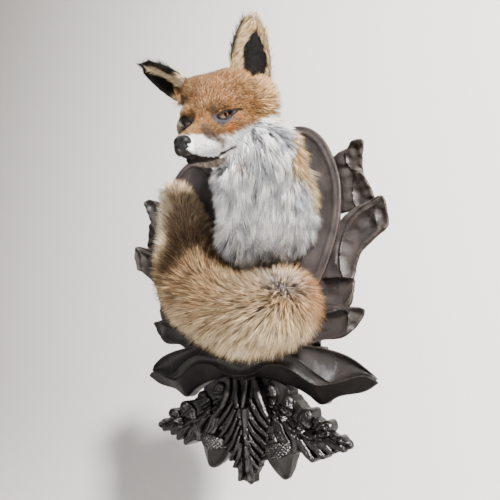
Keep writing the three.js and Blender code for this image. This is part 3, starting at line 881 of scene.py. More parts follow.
def lay(place, normal, along, lift, length, droop, wild, seed):
    """Tip and bend of each tuft: along is the way the coat lies, lift its rise in radians."""
    turn = np.random.default_rng(seed)
    flat = unit(along - dot(along, normal)[:, None] * normal)
    cross = np.cross(normal, flat)
    own = turn.normal(size=len(place)) * 0.4
    sway = wild * (own + ripple(place, 13, seed + 50) + ripple(place, 42, seed + 51) * 1.2)
    rise = lift + wild * 0.5 * turn.normal(size=len(place))
    run = flat * np.cos(sway)[:, None] + cross * np.sin(sway)[:, None]
    way = run * np.cos(rise)[:, None] + normal * np.sin(rise)[:, None]
    length = length * turn.uniform(0.75, 1.18, len(place))
    bend = (flat * 0.6 + np.array([0, 0, -0.8])) * (length * droop)[:, None]
    return place + way * length[:, None] + bend, bend


def vary(tints, near, amount, seed):
    """Each tuft, and each lock as a whole, a little lighter or darker than its neighbours."""
    turn = np.random.default_rng(seed)
    own, shared = turn.normal(size=(2, len(near)))
    shade = (1 + amount * (0.7 * own + 0.7 * shared[near]))[:, None]
    return [np.clip(t * shade, 0.01, 1) for t in tints]


# ---- the way the coat lies, and how long it is ----
def head_lie(q):
    """Back from the nose, up over the brow, down over the cheeks."""
    m = mirrored(q)
    way = unit(m - np.array([88.0, -4.0, -12.0]))
    _, y, z = m.T
    cheek = step(y, 18, 50) * step(z, 10, -25)
    way = way + cheek[:, None] * np.array([-0.1, 0.25, -0.75])
    way = way + (step(z, -30, -45))[:, None] * np.array([-0.3, 0, -0.4])
    way[:, 1] *= np.where(q[:, 1] < 0, -1, 1)
    return unit(way) @ HEAD_AXES


HEAD_LENGTH_AT = [-90, -60, -40, -20, 0, 20, 45, 75]
HEAD_LENGTH = [22, 17, 13, 10, 7.5, 5.6, 3.6, 2.4]


def head_length(m):
    """Longer back along the head and on the ruff, short by the eyes and the mouth."""
    x, y, z = m.T
    length = np.interp(x, HEAD_LENGTH_AT, HEAD_LENGTH)
    length = length * (1 - 0.4 * step(z, 4, 18) * step(y, 45, 30))
    length = length + 5 * step(y, 38, 55) * step(x, 12, -25) * step(z, 24, 0)
    length = length + 9 * step(z, -46, -60) * step(x, 40, 5)
    across, up, out = eye_place(m)
    ring = np.hypot(across / 12, up / 7)
    length = length * mix(1.0, 0.4, step(mouth_gap(m), 8, 4) * step(x, 16, 10) * step(z, -46, -42))
    return length * mix(1.0, 0.3, step(ring, 2.1, 1.0) * (out > 0))


def on_eye(m):
    across, up, out = eye_place(m)
    return (np.hypot(across / 10, (up + 0.6) / 4.2) < 1.0) & (out > 2)


def on_nose(m):
    return ellipsoid(m, [69, 0, -30], [9, 9.8, 9]) < 0


EAR_NUMBERS = ((1, "left"), (2, "right"))


def on_ear(q):
    """The number of the ear that each point is on, or 0, and its place across and up that ear."""
    found = np.zeros(len(q), int)
    s_all, up_all = np.zeros((2, len(q)))
    for number, side in EAR_NUMBERS:
        s, up, height, _, _ = ear_place(q, side)
        here = (np.abs(height) < 4.0) & (up > 0.02) & (up < 1.1) & (np.abs(s) < 1.15)
        here &= q[:, 2] > 22
        found[here] = number
        s_all[here] = s[here]
        up_all[here] = up[here]
    return found, s_all, up_all


BIB_FACES = unit(np.array([0.08, -1.0, -0.1]))
GREY_FROM, GREY_TO = 112, 95  # heights between which the ruff by the face turns greyer


def neck_tints(p, n):
    """White bib, sandy sides and nape with dark tips."""
    facing = dot(unit(n * np.array([1, 1, 0.0]) + 1e-6), BIB_FACES)
    drift = ripple(p, 34, 3)
    streak = ripple(p * np.array([1, 1, 0.35]), 10, 4)
    bib = step(facing + 0.15 * drift + 0.9 * step(p[:, 2], 62, 30), -0.2, 0.15)
    colour = wash(np.tile(SAND, (len(p), 1)), (CREAM, 0.45 + 0.5 * drift), (WHITE, bib))
    by_face = step(p[:, 2], GREY_TO, GREY_FROM)
    grey = np.clip(-0.2 + 1.7 * streak + 0.8 * drift - 0.5 * by_face, 0, 0.9)
    root = tint(colour * 0.75, SMOKE * 0.8, 0.6)
    dark = UMBER * 1.7, np.clip(0.3 * streak, 0, 0.3) * (1 - bib)
    middle = wash(colour, (SMOKE * 0.88, grey * bib), dark)
    dark = UMBER * 1.5, np.clip(streak * 0.5, 0, 0.3) * (1 - bib)
    tip = wash(colour * 1.05, (WHITE, 0.8 * bib), (SMOKE, 0.25 * grey * bib), dark)
    return root, middle, tip


def tail_tints(p, along, outward):
    """Tawny at both ends of the curl, greyer and cream between and below, with dark guard hairs. Up the
    tip, the left side carries a painted highlight and the right side painted shadow of the neck.
    """
    drift = ripple(p, 34, 5)
    streak = ripple(p * np.array([1, 1, 0.6]), 9, 6)
    tawny = step(along, 0.42, 0.56) * step(along, 0.86, 0.72) * step(outward[:, 2], -0.6, 0.2)
    rim = step(along, 0.2, 0.06)
    pale = step(outward[:, 2], 0.2, -0.7)
    parting = blob(p, TAIL_PARTING, [30, 30, 26])
    # painted light up the tip: a painted highlight on its left side, painted shadow of the neck on its
    # right
    left = step(outward[:, 0], 0.3, -0.25)
    column = step(along, 0.6, 0.76)
    painted_lit_side = column * left
    colour = wash(
        np.tile(TAN * 0.9, (len(p), 1)),
        (SAND * 0.84, 0.55 + 0.3 * drift),
        (TAN * 0.72, 0.85 * tawny),
        (RUST, 0.55 * rim * step(outward[:, 0], 0.0, 0.7)),
        (CREAM * 0.95, 0.7 * pale),
        (CREAM, step(along, 0.7, 0.9)),
        (CREAM, 0.4 * step(along, 0.02, 0.2) * step(along, 0.5, 0.3)),
        (CREAM * 0.9, 0.5 * step(along, 0.66, 0.8)),
        (SMOKE * 0.9, 0.45 * parting),
        (CREAM * 1.2, 0.95 * column * left),
        (UMBER * 1.2, 0.45 * column * (1 - left)),
    )
    dark = np.clip(0.15 + 0.9 * streak, 0, 0.8) * (1 - 0.5 * pale) * (1 - parting) * (1 - 0.9 * painted_lit_side)
    under = SMOKE * (0.95 + 0.2 * parting[:, None])
    root = tint(colour * 0.85, under, (0.4 + 0.5 * parting) * (1 - painted_lit_side))
    middle = tint(colour, SMOKE * 0.85, 0.5 * np.clip(0.2 - 0.8 * streak, 0, 0.7) * (1 - painted_lit_side))
    tip = tint(colour * 1.08, SOOT * 2.2, dark)
    return root, middle, tip


def grizzle(tints, dark, pale, kept, seed):
    """A dark share of the tufts get dark tips and a pale share pale ones, except where kept is 1."""
    turn = np.random.default_rng(seed)
    root, middle, tip = tints
    lot = turn.random(len(tip))
    darker = (lot < dark) * turn.uniform(0.35, 0.8, len(tip)) * (1 - kept)
    paler = (lot > 1 - pale) * turn.uniform(0.3, 0.75, len(tip)) * (1 - kept)
    middle = wash(middle, (UMBER * 1.2, 0.6 * darker), (CREAM, 0.5 * paler))
    tip = wash(tip, (UMBER * 0.7, darker), (CREAM * 1.04, paler))
    return [root, middle, tip]


# the dark leaf shape inside each ear, partly the ear's own dark inside and partly painted shade deep in
# the cup, and on the right ear painted shade over its lower, outer edge: from and to up the ear, from and
# to across it
HOLLOWS = {"left": (-0.02, 0.78, -0.55, 0.92), "right": (-0.1, 0.95, 0.08, 1.4)}
# where the black back comes round the inner edge of each ear
EAR_RIMS = {"left": (0.86, 0.96), "right": (0.62, 0.74)}


def dark_hollow(s, up, side):
    """1 in the dark leaf shape inside an ear, which is partly painted shade, 0 on the pale fur round it.
    """
    low, high, inner, outer = HOLLOWS[side]
    middle = (low + high) / 2
    leaf = np.sqrt(np.clip(1 - ((up - middle) / (high - middle)) ** 2, 0, 1))
    centre = (inner + outer) / 2
    return step(np.abs(s - centre) / ((outer - inner) / 2), leaf + 0.02, leaf - 0.2)


def ear_tints(p, s, up, cupped, side):
    """Dark hollow, partly painted shade, cream edges, black back and rim."""
    wisp = ripple(p, 8, 9)
    cream, tan = (0.85, 0.4 + 0.7 * wisp) if side == "left" else (1.0, 0.1 + 0.3 * wisp)
    pale = tint(np.tile(CREAM * cream, (len(p), 1)), TAN * 0.9, np.clip(tan, 0, 1))
    # the dark hollow is partly painted shade in the cup
    inside = np.where((dark_hollow(s, up, side) + 0.42 * wisp > 0.5)[:, None], SOOT * 0.8, pale)
    colour = np.where(cupped[:, None], inside, SOOT)
    rim = step(np.abs(s), *EAR_RIMS[side]) * (s < 0)
    colour = tint(colour, SOOT * 1.3, 0.95 * rim * step(up, 0.1, 0.3))
    wispy = wisp > -0.2
    if side == "left":
        return tint(colour, UMBER * 0.8, 0.8 * step(up, 0.8, 0.92) * wispy)
    return wash(colour, (SOOT * 1.6, step(up, 0.74, 0.82)), (WHITE, step(up, 0.92, 0.97) * wispy))


def neck_share(p, q, m):
    """0 on the head and the corner of the jaw, 1 on the neck."""
    share = step(neck_field(p) + NECK_DEPTH - (coat_head(q) + head_depth(m)) * HEAD_SCALE, 9, -9)
    jaw = step(m[:, 0], -10, 0) * step(m[:, 1], 47, 37) * step(m[:, 2], -60, -50)
    return share * (1 - jaw)


def comb_ears(place, normal, ear, s, up, tip, bend, tints):
    """Short fur on the ears' backs and long pale hairs along the edges of the cups, in place of what
    tip, bend and tints hold there."""
    for number, side in EAR_NUMBERS:
        here = ear == number
        inner, outer, top, opening = (np.array(v, float) for v in EARS[side])
        rise = unit((top - (inner + outer) / 2) @ HEAD_AXES)
        cupped = normal[here] @ unit(opening @ HEAD_AXES) > 0.05
        edge = 1 - dark_hollow(s[here], up[here], side)
        inward = -np.sign(s[here])[:, None] * unit(((outer - inner) / 2) @ HEAD_AXES) * 0.35
        lie = rise + np.where(cupped[:, None], inward, 0)
        length = np.where(cupped, mix(3.0, 11.0, edge), 4.2)
        lift = np.where(cupped, 0.5, 0.22)
        tip[here], bend[here] = lay(place[here], normal[here], lie, lift, length, 0.02, 0.2, seed=31)
        colour = ear_tints(place[here], s[here], up[here], cupped, side)
        for tier, shade in zip(tints, (0.7, 1.0, 1.05)):
            tier[here] = colour * shade


def coat_parts(q, place, normal, ear, share):
    """The pieces that the coat of the head and neck is divided in."""
    head = (ear == 0) & (share < 0.5)
    neck = (ear == 0) & (share >= 0.5)
    x, z = q[:, 0], q[:, 2]
    to_left = normal[:, 0] < 0.0
    high = place[:, 2] > 45
    return {
        "coat_ears": ear > 0,
        "coat_muzzle": head & (x > 30),
        "coat_face": head & (x > 2) & (x <= 30),
        "coat_crown": head & (x <= 2) & (z > 5),
        "coat_cheeks": head & (x <= 2) & (z <= 5),
        "coat_throat": neck & to_left & high,
        "coat_breast": neck & to_left & ~high,
        "coat_neck_side": neck & ~to_left & high,
        "coat_nape": neck & ~to_left & ~high,
    }


HEAD_LIFT_AT = [-60, 0, 60]
HEAD_LIFT = [0.72, 0.52, 0.3]
NECK_HAIR = 26.0
GREY_LOCKS = 0.3  # the share of the pale neck's locks that are grey


def body_weight(p):
    """Tufts stand closer where the hair is short, and none on the eyes and nose."""
    q = to_head(p)
    m = mirrored(q)
    length = np.where(coat_head(q) * HEAD_SCALE < neck_field(p), head_length(m), 15.0)
    return np.where(on_eye(m) | on_nose(m), 0, 1.0 / np.maximum(length, 3.0) ** 1.1)


def off_the_panel(place, normal):
    """Only the roots that stand clear of the panel."""
    keep = place[:, 1] < -PANEL_FRONT - CLEAR
    return place[keep], normal[keep]


def coat_head_and_neck(body):
    """Tufts from the nose to the chest, in one lie of the coat and divided in pieces afterwards."""
    fur = coat_material("fur")
    place, normal = off_the_panel(*scatter(body, body_weight, BODY_TUFTS, seed=11))
    q = to_head(place)
    m = mirrored(q)
    ear, s, up = on_ear(q)
    share = neck_share(place, q, m)
    outward = unit(place - np.array([85, -60, 40])) * np.array([1, 1, 0])
    down = unit(np.array([-0.02, 0.2, -0.95])) + 0.45 * outward
    way = unit(mix(head_lie(q), unit(down), share[:, None]))
    length = mix(head_length(m), NECK_HAIR, share)
    lift = mix(np.interp(m[:, 0], HEAD_LIFT_AT, HEAD_LIFT), 0.6, share)
    droop, wild = mix(0.06, 0.18, share), mix(0.2, 0.55, share)
    tip, bend = lay(place, normal, way, lift, length, droop, wild, seed=21)
    tints = [mix(a, b, share[:, None]) for a, b in zip(head_tints(q), neck_tints(place, normal))]
    comb_ears(place, normal, ear, s, up, tip, bend, tints)
    width = np.clip(0.42 + 0.03 * np.linalg.norm(tip - place, axis=1), 0.5, 1.1)
    near = locks(place, mix(9, 14, share), seed=41)
    lead = locks(place, mix(30, 55, share), seed=43)
    gathered = gather(place, tip, near, 0.35 * share + 0.2)
    gathered = gather(place, gathered, lead, 0.36 * share)
    tip = np.where((ear > 0)[:, None], tip, gathered)
    calm = np.maximum(ear > 0, (tints[1].min(1) > 0.8) | (tints[1].max(1) < 0.4))
    tints = grizzle(tints, mix(0.3, 0.22, share), mix(0.18, 0.3, share), calm, seed=61)
    tints = vary(tints, near, mix(0.12, 0.28, share), seed=51)
    lot = np.random.default_rng(53).random(len(place))[lead]
    grey = (lot < GREY_LOCKS) * share * (tints[2].min(1) > 0.6)
    tints = [tint(t, SMOKE * 0.95, 0.6 * grey) for t in tints]
    round_head = np.arctan2(m[:, 1] * np.sign(q[:, 1]), m[:, 2] + 20) / (2 * np.pi) + 0.5
    along_head = np.clip((q[:, 0] + 200) / 300, 0, 1)
    unwrap = np.stack([round_head, along_head], 1) * 0.99
    rows = (place, tip, normal, width, bend, unwrap)
    for name, here in coat_parts(q, place, normal, ear, share).items():
        grow_tufts(name, fur, here, rows, tints)


TAIL_HAIR = 27.5
TAIL_TUFT_WIDTH = 0.9
TAIL_CUTS = [0, 0.3, 0.52, 0.74, 1.01]  # places along the tail where its coat is divided


def coat_tail(tail):
    """Tufts along the curled tail, standing up like a brush."""
    fur = coat_material("tail_fur")
    place, normal = off_the_panel(*scatter(tail, lambda p: np.ones(len(p)), TAIL_TUFTS, seed=12))
    _, along, centre, heading = tail_nearest(place)
    outward = unit(place - centre)
    cap = step(along, 0.2, 0.1)
    parting = blob(place, TAIL_PARTING, [24, 24, 24])
    length = TAIL_HAIR * mix(1, 0.85, step(along, 0.7, 1)) * (1 - 0.3 * parting)
    way = mix(heading + np.array([0, 0, -0.3]), np.array([0.35, 0.1, -0.93]), cap[:, None])
    lift = 1.12 - 0.3 * cap + 0.3 * parting
    tip, bend = lay(place, normal, way, lift, length, 0.1, 0.42, seed=22)
    near = locks(place, 9, seed=42)
    tip = gather(place, tip, near, 0.5)
    width = np.full(len(place), TAIL_TUFT_WIDTH)
    tints = grizzle(tail_tints(place, along, outward), 0.34, 0.26, np.zeros(len(place)), seed=62)
    tints = vary(tints, near, 0.17, seed=52)
    frame_side = unit(np.cross(heading, np.array([0, 1.0, 0])))
    angle = np.arctan2(dot(outward, frame_side), dot(outward, np.cross(frame_side, heading)))
    unwrap = np.stack([along * 0.99, (angle / (2 * np.pi) + 0.5) * 0.99], 1)
    rows = (place, tip, normal, width, bend, unwrap)
    names = ("coat_tail_root", "coat_tail_foot", "coat_tail_side", "coat_tail_tip")
    for name, low, high in zip(names, TAIL_CUTS, TAIL_CUTS[1:]):
        grow_tufts(name, fur, (along >= low) & (along < high), rows, tints)


def paint_skins(body, tail):
    """The skins in the coat's own inner colours, so nothing else shows between the tufts."""
    p, n = points_and_normals(body)
    q = to_head(p)
    m = mirrored(q)
    share = neck_share(p, q, m)
    root, middle, _ = (mix(a, b, share[:, None]) for a, b in zip(head_tints(q), neck_tints(p, n)))
    colour = mix(root, middle, 0.5)
    ear = on_ear(q)[0]
    colour[ear > 0] = SOOT * 1.3
    paint(body, "coat", linear(colour))
    p, _ = points_and_normals(tail)
    _, along, centre, _ = tail_nearest(p)
    root, middle, _ = tail_tints(p, along, unit(p - centre))
    paint(tail, "coat", linear(mix(root, middle, 0.4)))


# ---- eyes ----
IRIS = (0.06, 0.026, 0.011, 1)
IRIS_EDGE = (0.022, 0.011, 0.008, 1)
IRIS_FLECK = (0.04, 0.015, 0.008, 1)
EYE_DARK = (0.006, 0.005, 0.005, 1)
PUPIL = (0.002, 0.002, 0.002, 1)


def eye_glass():
    """Brown iris with an upright pupil under a clear front. The eye_at attribute is across, up and out."""
    material, tree, shader = node_tree("eye_glass")
    at = node(tree, "Attribute", attribute_name="eye_at").outputs["Vector"]
    parts = node(tree, "SeparateXYZ", {0: at}).outputs

    def radius(wide, tall):
        """Distance from the middle, stretched across by wide and up by tall."""
        across = maths(tree, "POWER", maths(tree, "MULTIPLY", parts["X"], wide), 2.0)
        up = maths(tree, "POWER", maths(tree, "MULTIPLY", parts["Y"], tall), 2.0)
        return maths(tree, "SQRT", maths(tree, "ADD", across, up))

    def soft(value, low, high):
        return ramp(tree, value, low, high, kind="SMOOTHSTEP")

    whole = radius(1.0, 1.0)
    iris = blend(tree, soft(whole, 0.2, 0.6), IRIS, IRIS_EDGE)
    iris = blend(tree, maths(tree, "MULTIPLY", noise(tree, at, 9.0, 3.0), 0.5), iris, IRIS_FLECK)
    ball = blend(tree, soft(whole, 0.60, 0.70), iris, EYE_DARK)
    feed(tree, shader, {
        "Base Color": blend(tree, soft(radius(2.1, 0.85), 0.40, 0.30), ball, PUPIL),
        "Roughness": 0.1,
        "Specular IOR Level": 0.3,
        "Coat Weight": 0.5,
        "Coat Roughness": 0.05,
    })
    return material


EYE_RINGS = 28
EYE_SPOKES = 40


def eyeball(name, side, material):
    """A glass eye: a ball with a slightly proud front, side 1 left and -1 right."""
    rings, spokes = EYE_RINGS, EYE_SPOKES
    polar = np.linspace(0, math.pi, rings + 1)[1:-1]
    turn = np.arange(spokes) * 2 * math.pi / spokes
    rows = np.array([[math.sin(a) * math.cos(t), math.sin(a) * math.sin(t), math.cos(a)]
                     for a in polar for t in turn])
    rows = np.vstack([[0, 0, 1.0], rows, [0, 0, -1.0]])
    last = len(rows) - 1
    faces = [(0, 1 + k, 1 + (k + 1) % spokes) for k in range(spokes)]
    for ring in range(rings - 2):
        for k in range(spokes):
            a, b = 1 + ring * spokes + k, 1 + ring * spokes + (k + 1) % spokes
            faces.append((a, a + spokes, b + spokes, b))
    start = 1 + (rings - 2) * spokes
    faces += [(last, start + (k + 1) % spokes, start + k) for k in range(spokes)]
    bulge = 1 + 0.05 * step(rows[:, 2], 0.72, 0.95)
    axes = np.array([EYE_OUTWARD, EYE_UP, EYE_LOOK])
    q = EYE_CENTRE + (rows * bulge[:, None] * EYE_RADIUS) @ axes
    q[:, 1] *= side
    mesh = bpy.data.meshes.new(name)
    mesh.from_pydata(from_head(q) * MM, [], faces)
    if side * np.linalg.det(axes) < 0:
        mesh.flip_normals()
    mesh.attributes.new("eye_at", "FLOAT_VECTOR", "POINT").data.foreach_set(
        "vector", rows.astype(np.float32).ravel())
    mesh.shade_smooth()
    return show(name, mesh, material)


def build_eyes():
    glass = eye_glass()
    for name, side in (("eye_left", 1), ("eye_right", -1)):
        ball = eyeball("ball_" + name, side, glass)
        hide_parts(name)


# ---- nose ----
NOSE_CENTRE = [67.0, 0, -28.2]
NOSE_REACH = 16  # half the box that the nose is meshed in
NOSE_BLACK = (0.0015, 0.0015, 0.0016, 1)
NOSE_WORN = (0.004, 0.0042, 0.005, 1)


def nose_field(p):
    """A leathery pad with comma nostrils and a groove down the middle."""
    m = mirrored(to_head(p))
    d = ellipsoid(m, NOSE_CENTRE, [9.5, 7.4, 6.9])
    d = join(d, ellipsoid(m, [71.5, 3.8, -28.0], [5.0, 4.4, 5.2]), 3)
    d = join(d, ellipsoid(m, [70.5, 0, -32.0], [4.5, 3.4, 4.2]), 3)
    d = cut(d, taper(m, [76.5, 4.6, -30.2], 1.9, [71, 7.8, -31.4], 1.1), 1.0)
    d = cut(d, taper(m, [78.2, 0, -26.5], 0.5, [76.5, 0, -38], 0.6), 0.9)
    return d * HEAD_SCALE


def nose_leather():
    """Black pebbled leather with a dull shine."""
    material, tree, shader = node_tree("nose_leather")
    place = node(tree, "TexCoord").outputs["Object"]
    pebble = node(tree, "TexVoronoi", {"Vector": place, "Scale": 1100.0}, feature="DISTANCE_TO_EDGE")
    worn = noise(tree, place, 160.0, 4.0)
    feed(tree, shader, {
        "Base Color": two_tones(tree, worn, 0.35, NOSE_BLACK, 0.75, NOSE_WORN),
        "Normal": bump(tree, pebble.outputs["Distance"], 0.5, 0.0004),
        "Roughness": 0.48,
        "Specular IOR Level": 0.22,
    })
    return material


def build_nose():
    middle = from_head([70, 0, -30])
    mesh = field_mesh("nose_pad", nose_field, middle - NOSE_REACH, middle + NOSE_REACH, NOSE_VOXEL, 0.01)
    piece = show("nose_pad", mesh, nose_leather())
    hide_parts("nose")


# ---- carved wood: reliefs cut from the front of boards. p is rows of x and z, h the front's depth there,
# and a gap is a distance outside (+) or inside (-) an outline ----
PANEL_HALF = [
    (0, 112), (26, 124), (50, 142), (72, 161), (98, 170), (122, 162), (142, 142), (155, 115), (163, 88),
    (165.5, 60), (162, 26), (152, -8), (133, -48), (108, -84), (76, -112), (38, -128), (0, -134),
]
# the front's depth by the distance in from the outline: rim, bead, groove and field
PANEL_PROFILE_IN = [0, 0.8, 2, 5, 7.5, 9, 10.5, 13, 14.2, 15.4, 17, 200]
PANEL_PROFILE = [31.8, 32.8, 32.8, 32.2, 32.7, 33.1, 32.6, 31.6, 31.2, 31.6, 31, 31]

# rows run along a carved leaf: outer x, z; inner x, z; front depth at each; back depth at each
UPPER_LEAF = [
    (203, 117, 192, 121, 46, 44, 34, 34),
    (200, 104, 174, 116, 43, 36, 32, 28),
    (197, 92, 148, 111, 40, 30, 22, 0),
    (196, 80, 147, 94, 37, 27, 12, 0),
    (201, 66, 149, 76, 35, 26, 10, 0),
    (205, 52, 150, 56, 33, 25, 8, 0),
    (203, 38, 148, 36, 30, 25, 6, 0),
]
MIDDLE_LEAF = [
    (225, 32, 219, 42, 40, 41, 28, 30),
    (224, 5, 199, 37, 36, 38, 24, 28),
    (212, -3, 180, 33, 34, 36, 20, 18),
    (199, -12, 150, 14, 33, 32, 15, 0),
    (187, -21, 144, -6, 32, 30, 12, 0),
    (180, -32, 136, -26, 31, 28, 8, 0),
    (174, -50, 124, -46, 30, 27, 5, 0),
    (163, -88, 112, -80, 28, 26, 3, 0),
]
LOWER_LEAF = [
    (183, -96, 182, -89, 26, 28, 14, 16),
    (172, -111, 163, -86, 27, 30, 8, 14),
    (153, -124, 144, -84, 28, 31, 4, 6),
    (125, -126, 126, -83, 28, 31, 2, 0),
    (103, -132, 98, -84, 28, 31, 0, 0),
]
SIDE_LEAF = [
    (40, -232, 24, -177.5, 24, 22, 0, 0),
    (70, -258, 58, -182, 27, 28, 0, 0),
    (90, -267, 82, -196, 28, 32, 0, 0),
    (106, -271, 100, -209, 29, 34, 3, 4),
    (122, -266, 120, -219, 30, 35, 8, 10),
    (140, -260, 140, -234, 31, 35, 14, 16),
    (160, -252, 162, -246, 32, 35, 22, 24),
]
CENTRE_LEAF = [
    (-21, -178, 21, -178, 26, 26, 0, 0),
    (-29, -200, 29, -200, 29, 29, 0, 0),
    (-43, -222, 43, -222, 30, 30, 0, 0),
    (-42, -246, 42, -246, 29, 29, 4, 4),
    (-32, -270, 32, -270, 27, 27, 6, 6),
    (-22, -290, 22, -290, 25, 25, 8, 8),
    (-12, -307, 12, -307, 22, 22, 10, 10),
    (-4, -315, 4, -315, 18, 18, 10, 10),
]
ACORN = [
    (36, -258, 74, -250, 18, 18, 0, 0),
    (32, -272, 76, -265, 22, 22, 3, 3),
    (40, -286, 72, -281, 22, 22, 6, 6),
    (56, -298, 66, -296, 18, 18, 10, 10),
]


def outline_gap(p, outline):
    """Distance outside (+) or inside (-) a closed outline, for rows of x and z."""
    a = np.array(outline, float)
    b = np.roll(a, -1, axis=0)
    gap = np.full(len(p), NO_GAP_YET)
    inside = np.zeros(len(p), bool)
    for start, stop in zip(a, b):
        edge = stop - start
        away = p - start
        h = np.clip(away @ edge / max(edge @ edge, 1e-9), 0, 1)
        gap = np.minimum(gap, np.linalg.norm(away - h[:, None] * edge, axis=1))
        crosses = (start[1] > p[:, 1]) != (stop[1] > p[:, 1])
        rise = stop[1] - start[1] if stop[1] != start[1] else 1e-9
        inside ^= crosses & (away[:, 0] < (p[:, 1] - start[1]) / rise * edge[0])
    return np.where(inside, -gap, gap)


def line_place(p, line):
    """Distance along an open line, and signed distance to its side, for rows of x and z."""
    line = np.array(line, float)
    best = np.full(len(p), NO_GAP_YET)
    along = np.zeros(len(p))
    side = np.zeros(len(p))
    run = 0.0
    for a, b in zip(line, line[1:]):
        edge = b - a
        size = np.linalg.norm(edge)
        away = p - a
        raw = away @ edge / size**2
        h = np.clip(raw, 0, 1)
        gap = np.linalg.norm(away - h[:, None] * edge, axis=1)
        closer = gap < best
        turn = edge[0] * away[:, 1] - edge[1] * away[:, 0]
        best[closer] = gap[closer]
        side[closer] = (np.sign(turn) * gap)[closer]
        along[closer] = (run + h * size)[closer]
        run += size
    return along, side


def spread(p, rows, first, second):
    """A depth given at the two ends of each row, spread smoothly between them."""
    rows = np.array(rows, float)
    spots = np.vstack([rows[:, 0:2], rows[:, 2:4], (rows[:, 0:2] + rows[:, 2:4]) / 2])
    values = np.concatenate([rows[:, first], rows[:, second], (rows[:, first] + rows[:, second]) / 2])
    near = ((p[:, None, :] - spots[None]) ** 2).sum(-1) + 9.0
    weight = near**-2.0
    return weight @ values / weight.sum(1)


def scoop(h, p, outline, rim, hollow, width, tilt):
    """A gouged hollow: a sharp rim round the outline, sinking to the hollow away from it."""
    gap = -outline_gap(p, outline)
    centre = np.mean(outline, axis=0)
    lean = (p - centre) @ np.array(tilt, float)
    bowl = np.clip(gap / width, 0, 1)
    cut_to = rim + lean - hollow * (1 - (1 - bowl) ** 2)
    return np.where(gap > 0, h + cut_to, h)


def groove(h, p, line, width, depth):
    """A V cut along a line."""
    _, side = line_place(p, line)
    return h - depth * np.clip(1 - np.abs(side) / width, 0, 1)


def edge_round(h, gap, width, drop):
    """The front lowered by drop at the outline, fading out over width."""
    return h - drop * np.clip(1 + gap / width, 0, 1) ** 2


def gouged(p, size, depth, seed):
    """Shallow tool marks left all over a carved face."""
    return depth * (np.abs(ripple(np.column_stack([p, np.zeros(len(p))]), size, seed)) - 0.4)


EDGE = 4.0  # a carving's thickness at its edge
UNDERCUT = 1.4  # how steeply its back falls away to the wall from there
UNDERCUT_FADE = 12  # and how far it takes to start
BOARD_MARGIN = 4  # how far past its outline a carving is meshed


def board(name, outline, shape, voxel, under):
    """A closed relief. shape(p) gives the outline gap, front depth and back depth at rows of x and z. Its
    back is undercut from under outwards."""
    low, high = np.min(outline, axis=0) - BOARD_MARGIN, np.max(outline, axis=0) + BOARD_MARGIN
    counts = [int((high[k] - low[k]) / voxel) + 1 for k in (0, 1)]
    x, z = np.meshgrid(low[0] + np.arange(counts[0]) * voxel, low[1] + np.arange(counts[1]) * voxel,
                       indexing="ij")
    p = np.column_stack([x.ravel(), z.ravel()])
    gap, front, back = (v.reshape(counts) for v in shape(p))
    undercut = step(np.abs(x), under, under + UNDERCUT_FADE)
    back = mix(back, np.maximum(back, front - EDGE + UNDERCUT * gap), undercut)
    deep = float(front[gap < 2].max()) + 2 * voxel
    depth = np.arange(-2 * voxel, deep, voxel)
    slope = [np.sqrt(1 + sum(g**2 for g in np.gradient(v, voxel))) for v in (front, back)]
    ahead = (depth[None, :, None] - front[:, None, :]) / slope[0][:, None, :]
    behind = (back[:, None, :] - depth[None, :, None]) / slope[1][:, None, :]
    values = np.maximum(gap[:, None, :], np.maximum(ahead, behind))
    far = 3 * voxel
    grid = openvdb.FloatGrid(far)
    grid.copyFromArray(np.clip(values, -far, far).astype(np.float32)[:, ::-1, :].copy())
    points, triangles, quads = grid.convertToPolygons(isovalue=0.0, adaptivity=0.01)
    points = points * voxel
    points[:, 0] += low[0]
    points[:, 2] += low[1]
    points[:, 1] -= depth[-1]
    mesh = bpy.data.meshes.new(name)
    mesh.from_pydata(points * MM, [], [*triangles.tolist(), *quads.tolist()])
    mesh.shade_smooth()
    mesh.set_sharp_from_angle(angle=math.radians(30))
    return mesh


def full_panel():
    """The panel's outline, with the right half mirrored for the left."""
    left = [(-x, z) for x, z in PANEL_HALF[-2:0:-1]]
    return closed_curve([*PANEL_HALF, *left], 6)


def rows_outline(rows, steps=5):
    """The outline of a leaf: out along the outer ends of its rows and back along the inner ends."""
    return closed_curve([r[0:2] for r in rows] + [r[2:4] for r in rows[::-1]], steps)


def panel_shape(p):
    gap = outline_gap(p, full_panel())
    front = np.interp(-gap, PANEL_PROFILE_IN, PANEL_PROFILE) + gouged(p, 22, 0.25, 71)
    return gap, front, np.zeros(len(p))


# a leaf's gouged hollows: outline, whether it is curved, rim, hollow, width, and how it leans
UPPER_SCOOPS = [
    ([(203, 118), (192, 122), (178, 113), (175, 100), (180, 88), (193, 80), (198, 82), (199, 96)],
     True, 1.5, 4.0, 12, (-0.1, 0.05)),
    ([(193, 79), (203, 66), (207, 52), (204, 38), (190, 34), (180, 40), (179, 56), (184, 70)],
     True, 1.5, 4.0, 12, (-0.1, 0.05)),
]
MIDDLE_SCOOPS = [
    ([(213, 33), (221, 44), (227, 34), (227, 5), (223, 2), (211, 0), (210, 20)],
     False, 1.5, 4.5, 12, (0.12, 0.02)),
    ([(212, 31), (210, 20), (211, 1), (195, -11), (186, -25), (177, -52),
      (160, -49), (158, -24), (164, -2), (171, 8), (187, 23), (200, 29)],
     True, 1.5, 5.0, 14, (-0.06, 0.02)),
    ([(158, -50), (178, -53), (172, -68), (158, -84), (110, -72), (128, -48)],
     False, -1.5, 4.5, 12, (0, 0)),
]
MIDDLE_BAND = [(214, 39), (199, 33), (182, 24), (168, 11), (158, -6), (153, -30)]
LOWER_SCOOPS = [
    ([(166, -88), (186, -88), (187, -99), (170, -115), (164, -112)],
     False, 1.2, 3.5, 10, (0.05, 0.1)),
    ([(164, -91), (162, -114), (145, -123), (110, -128), (104, -110), (122, -97), (145, -91)],
     True, 1.2, 6.0, 12, (0, 0)),
]


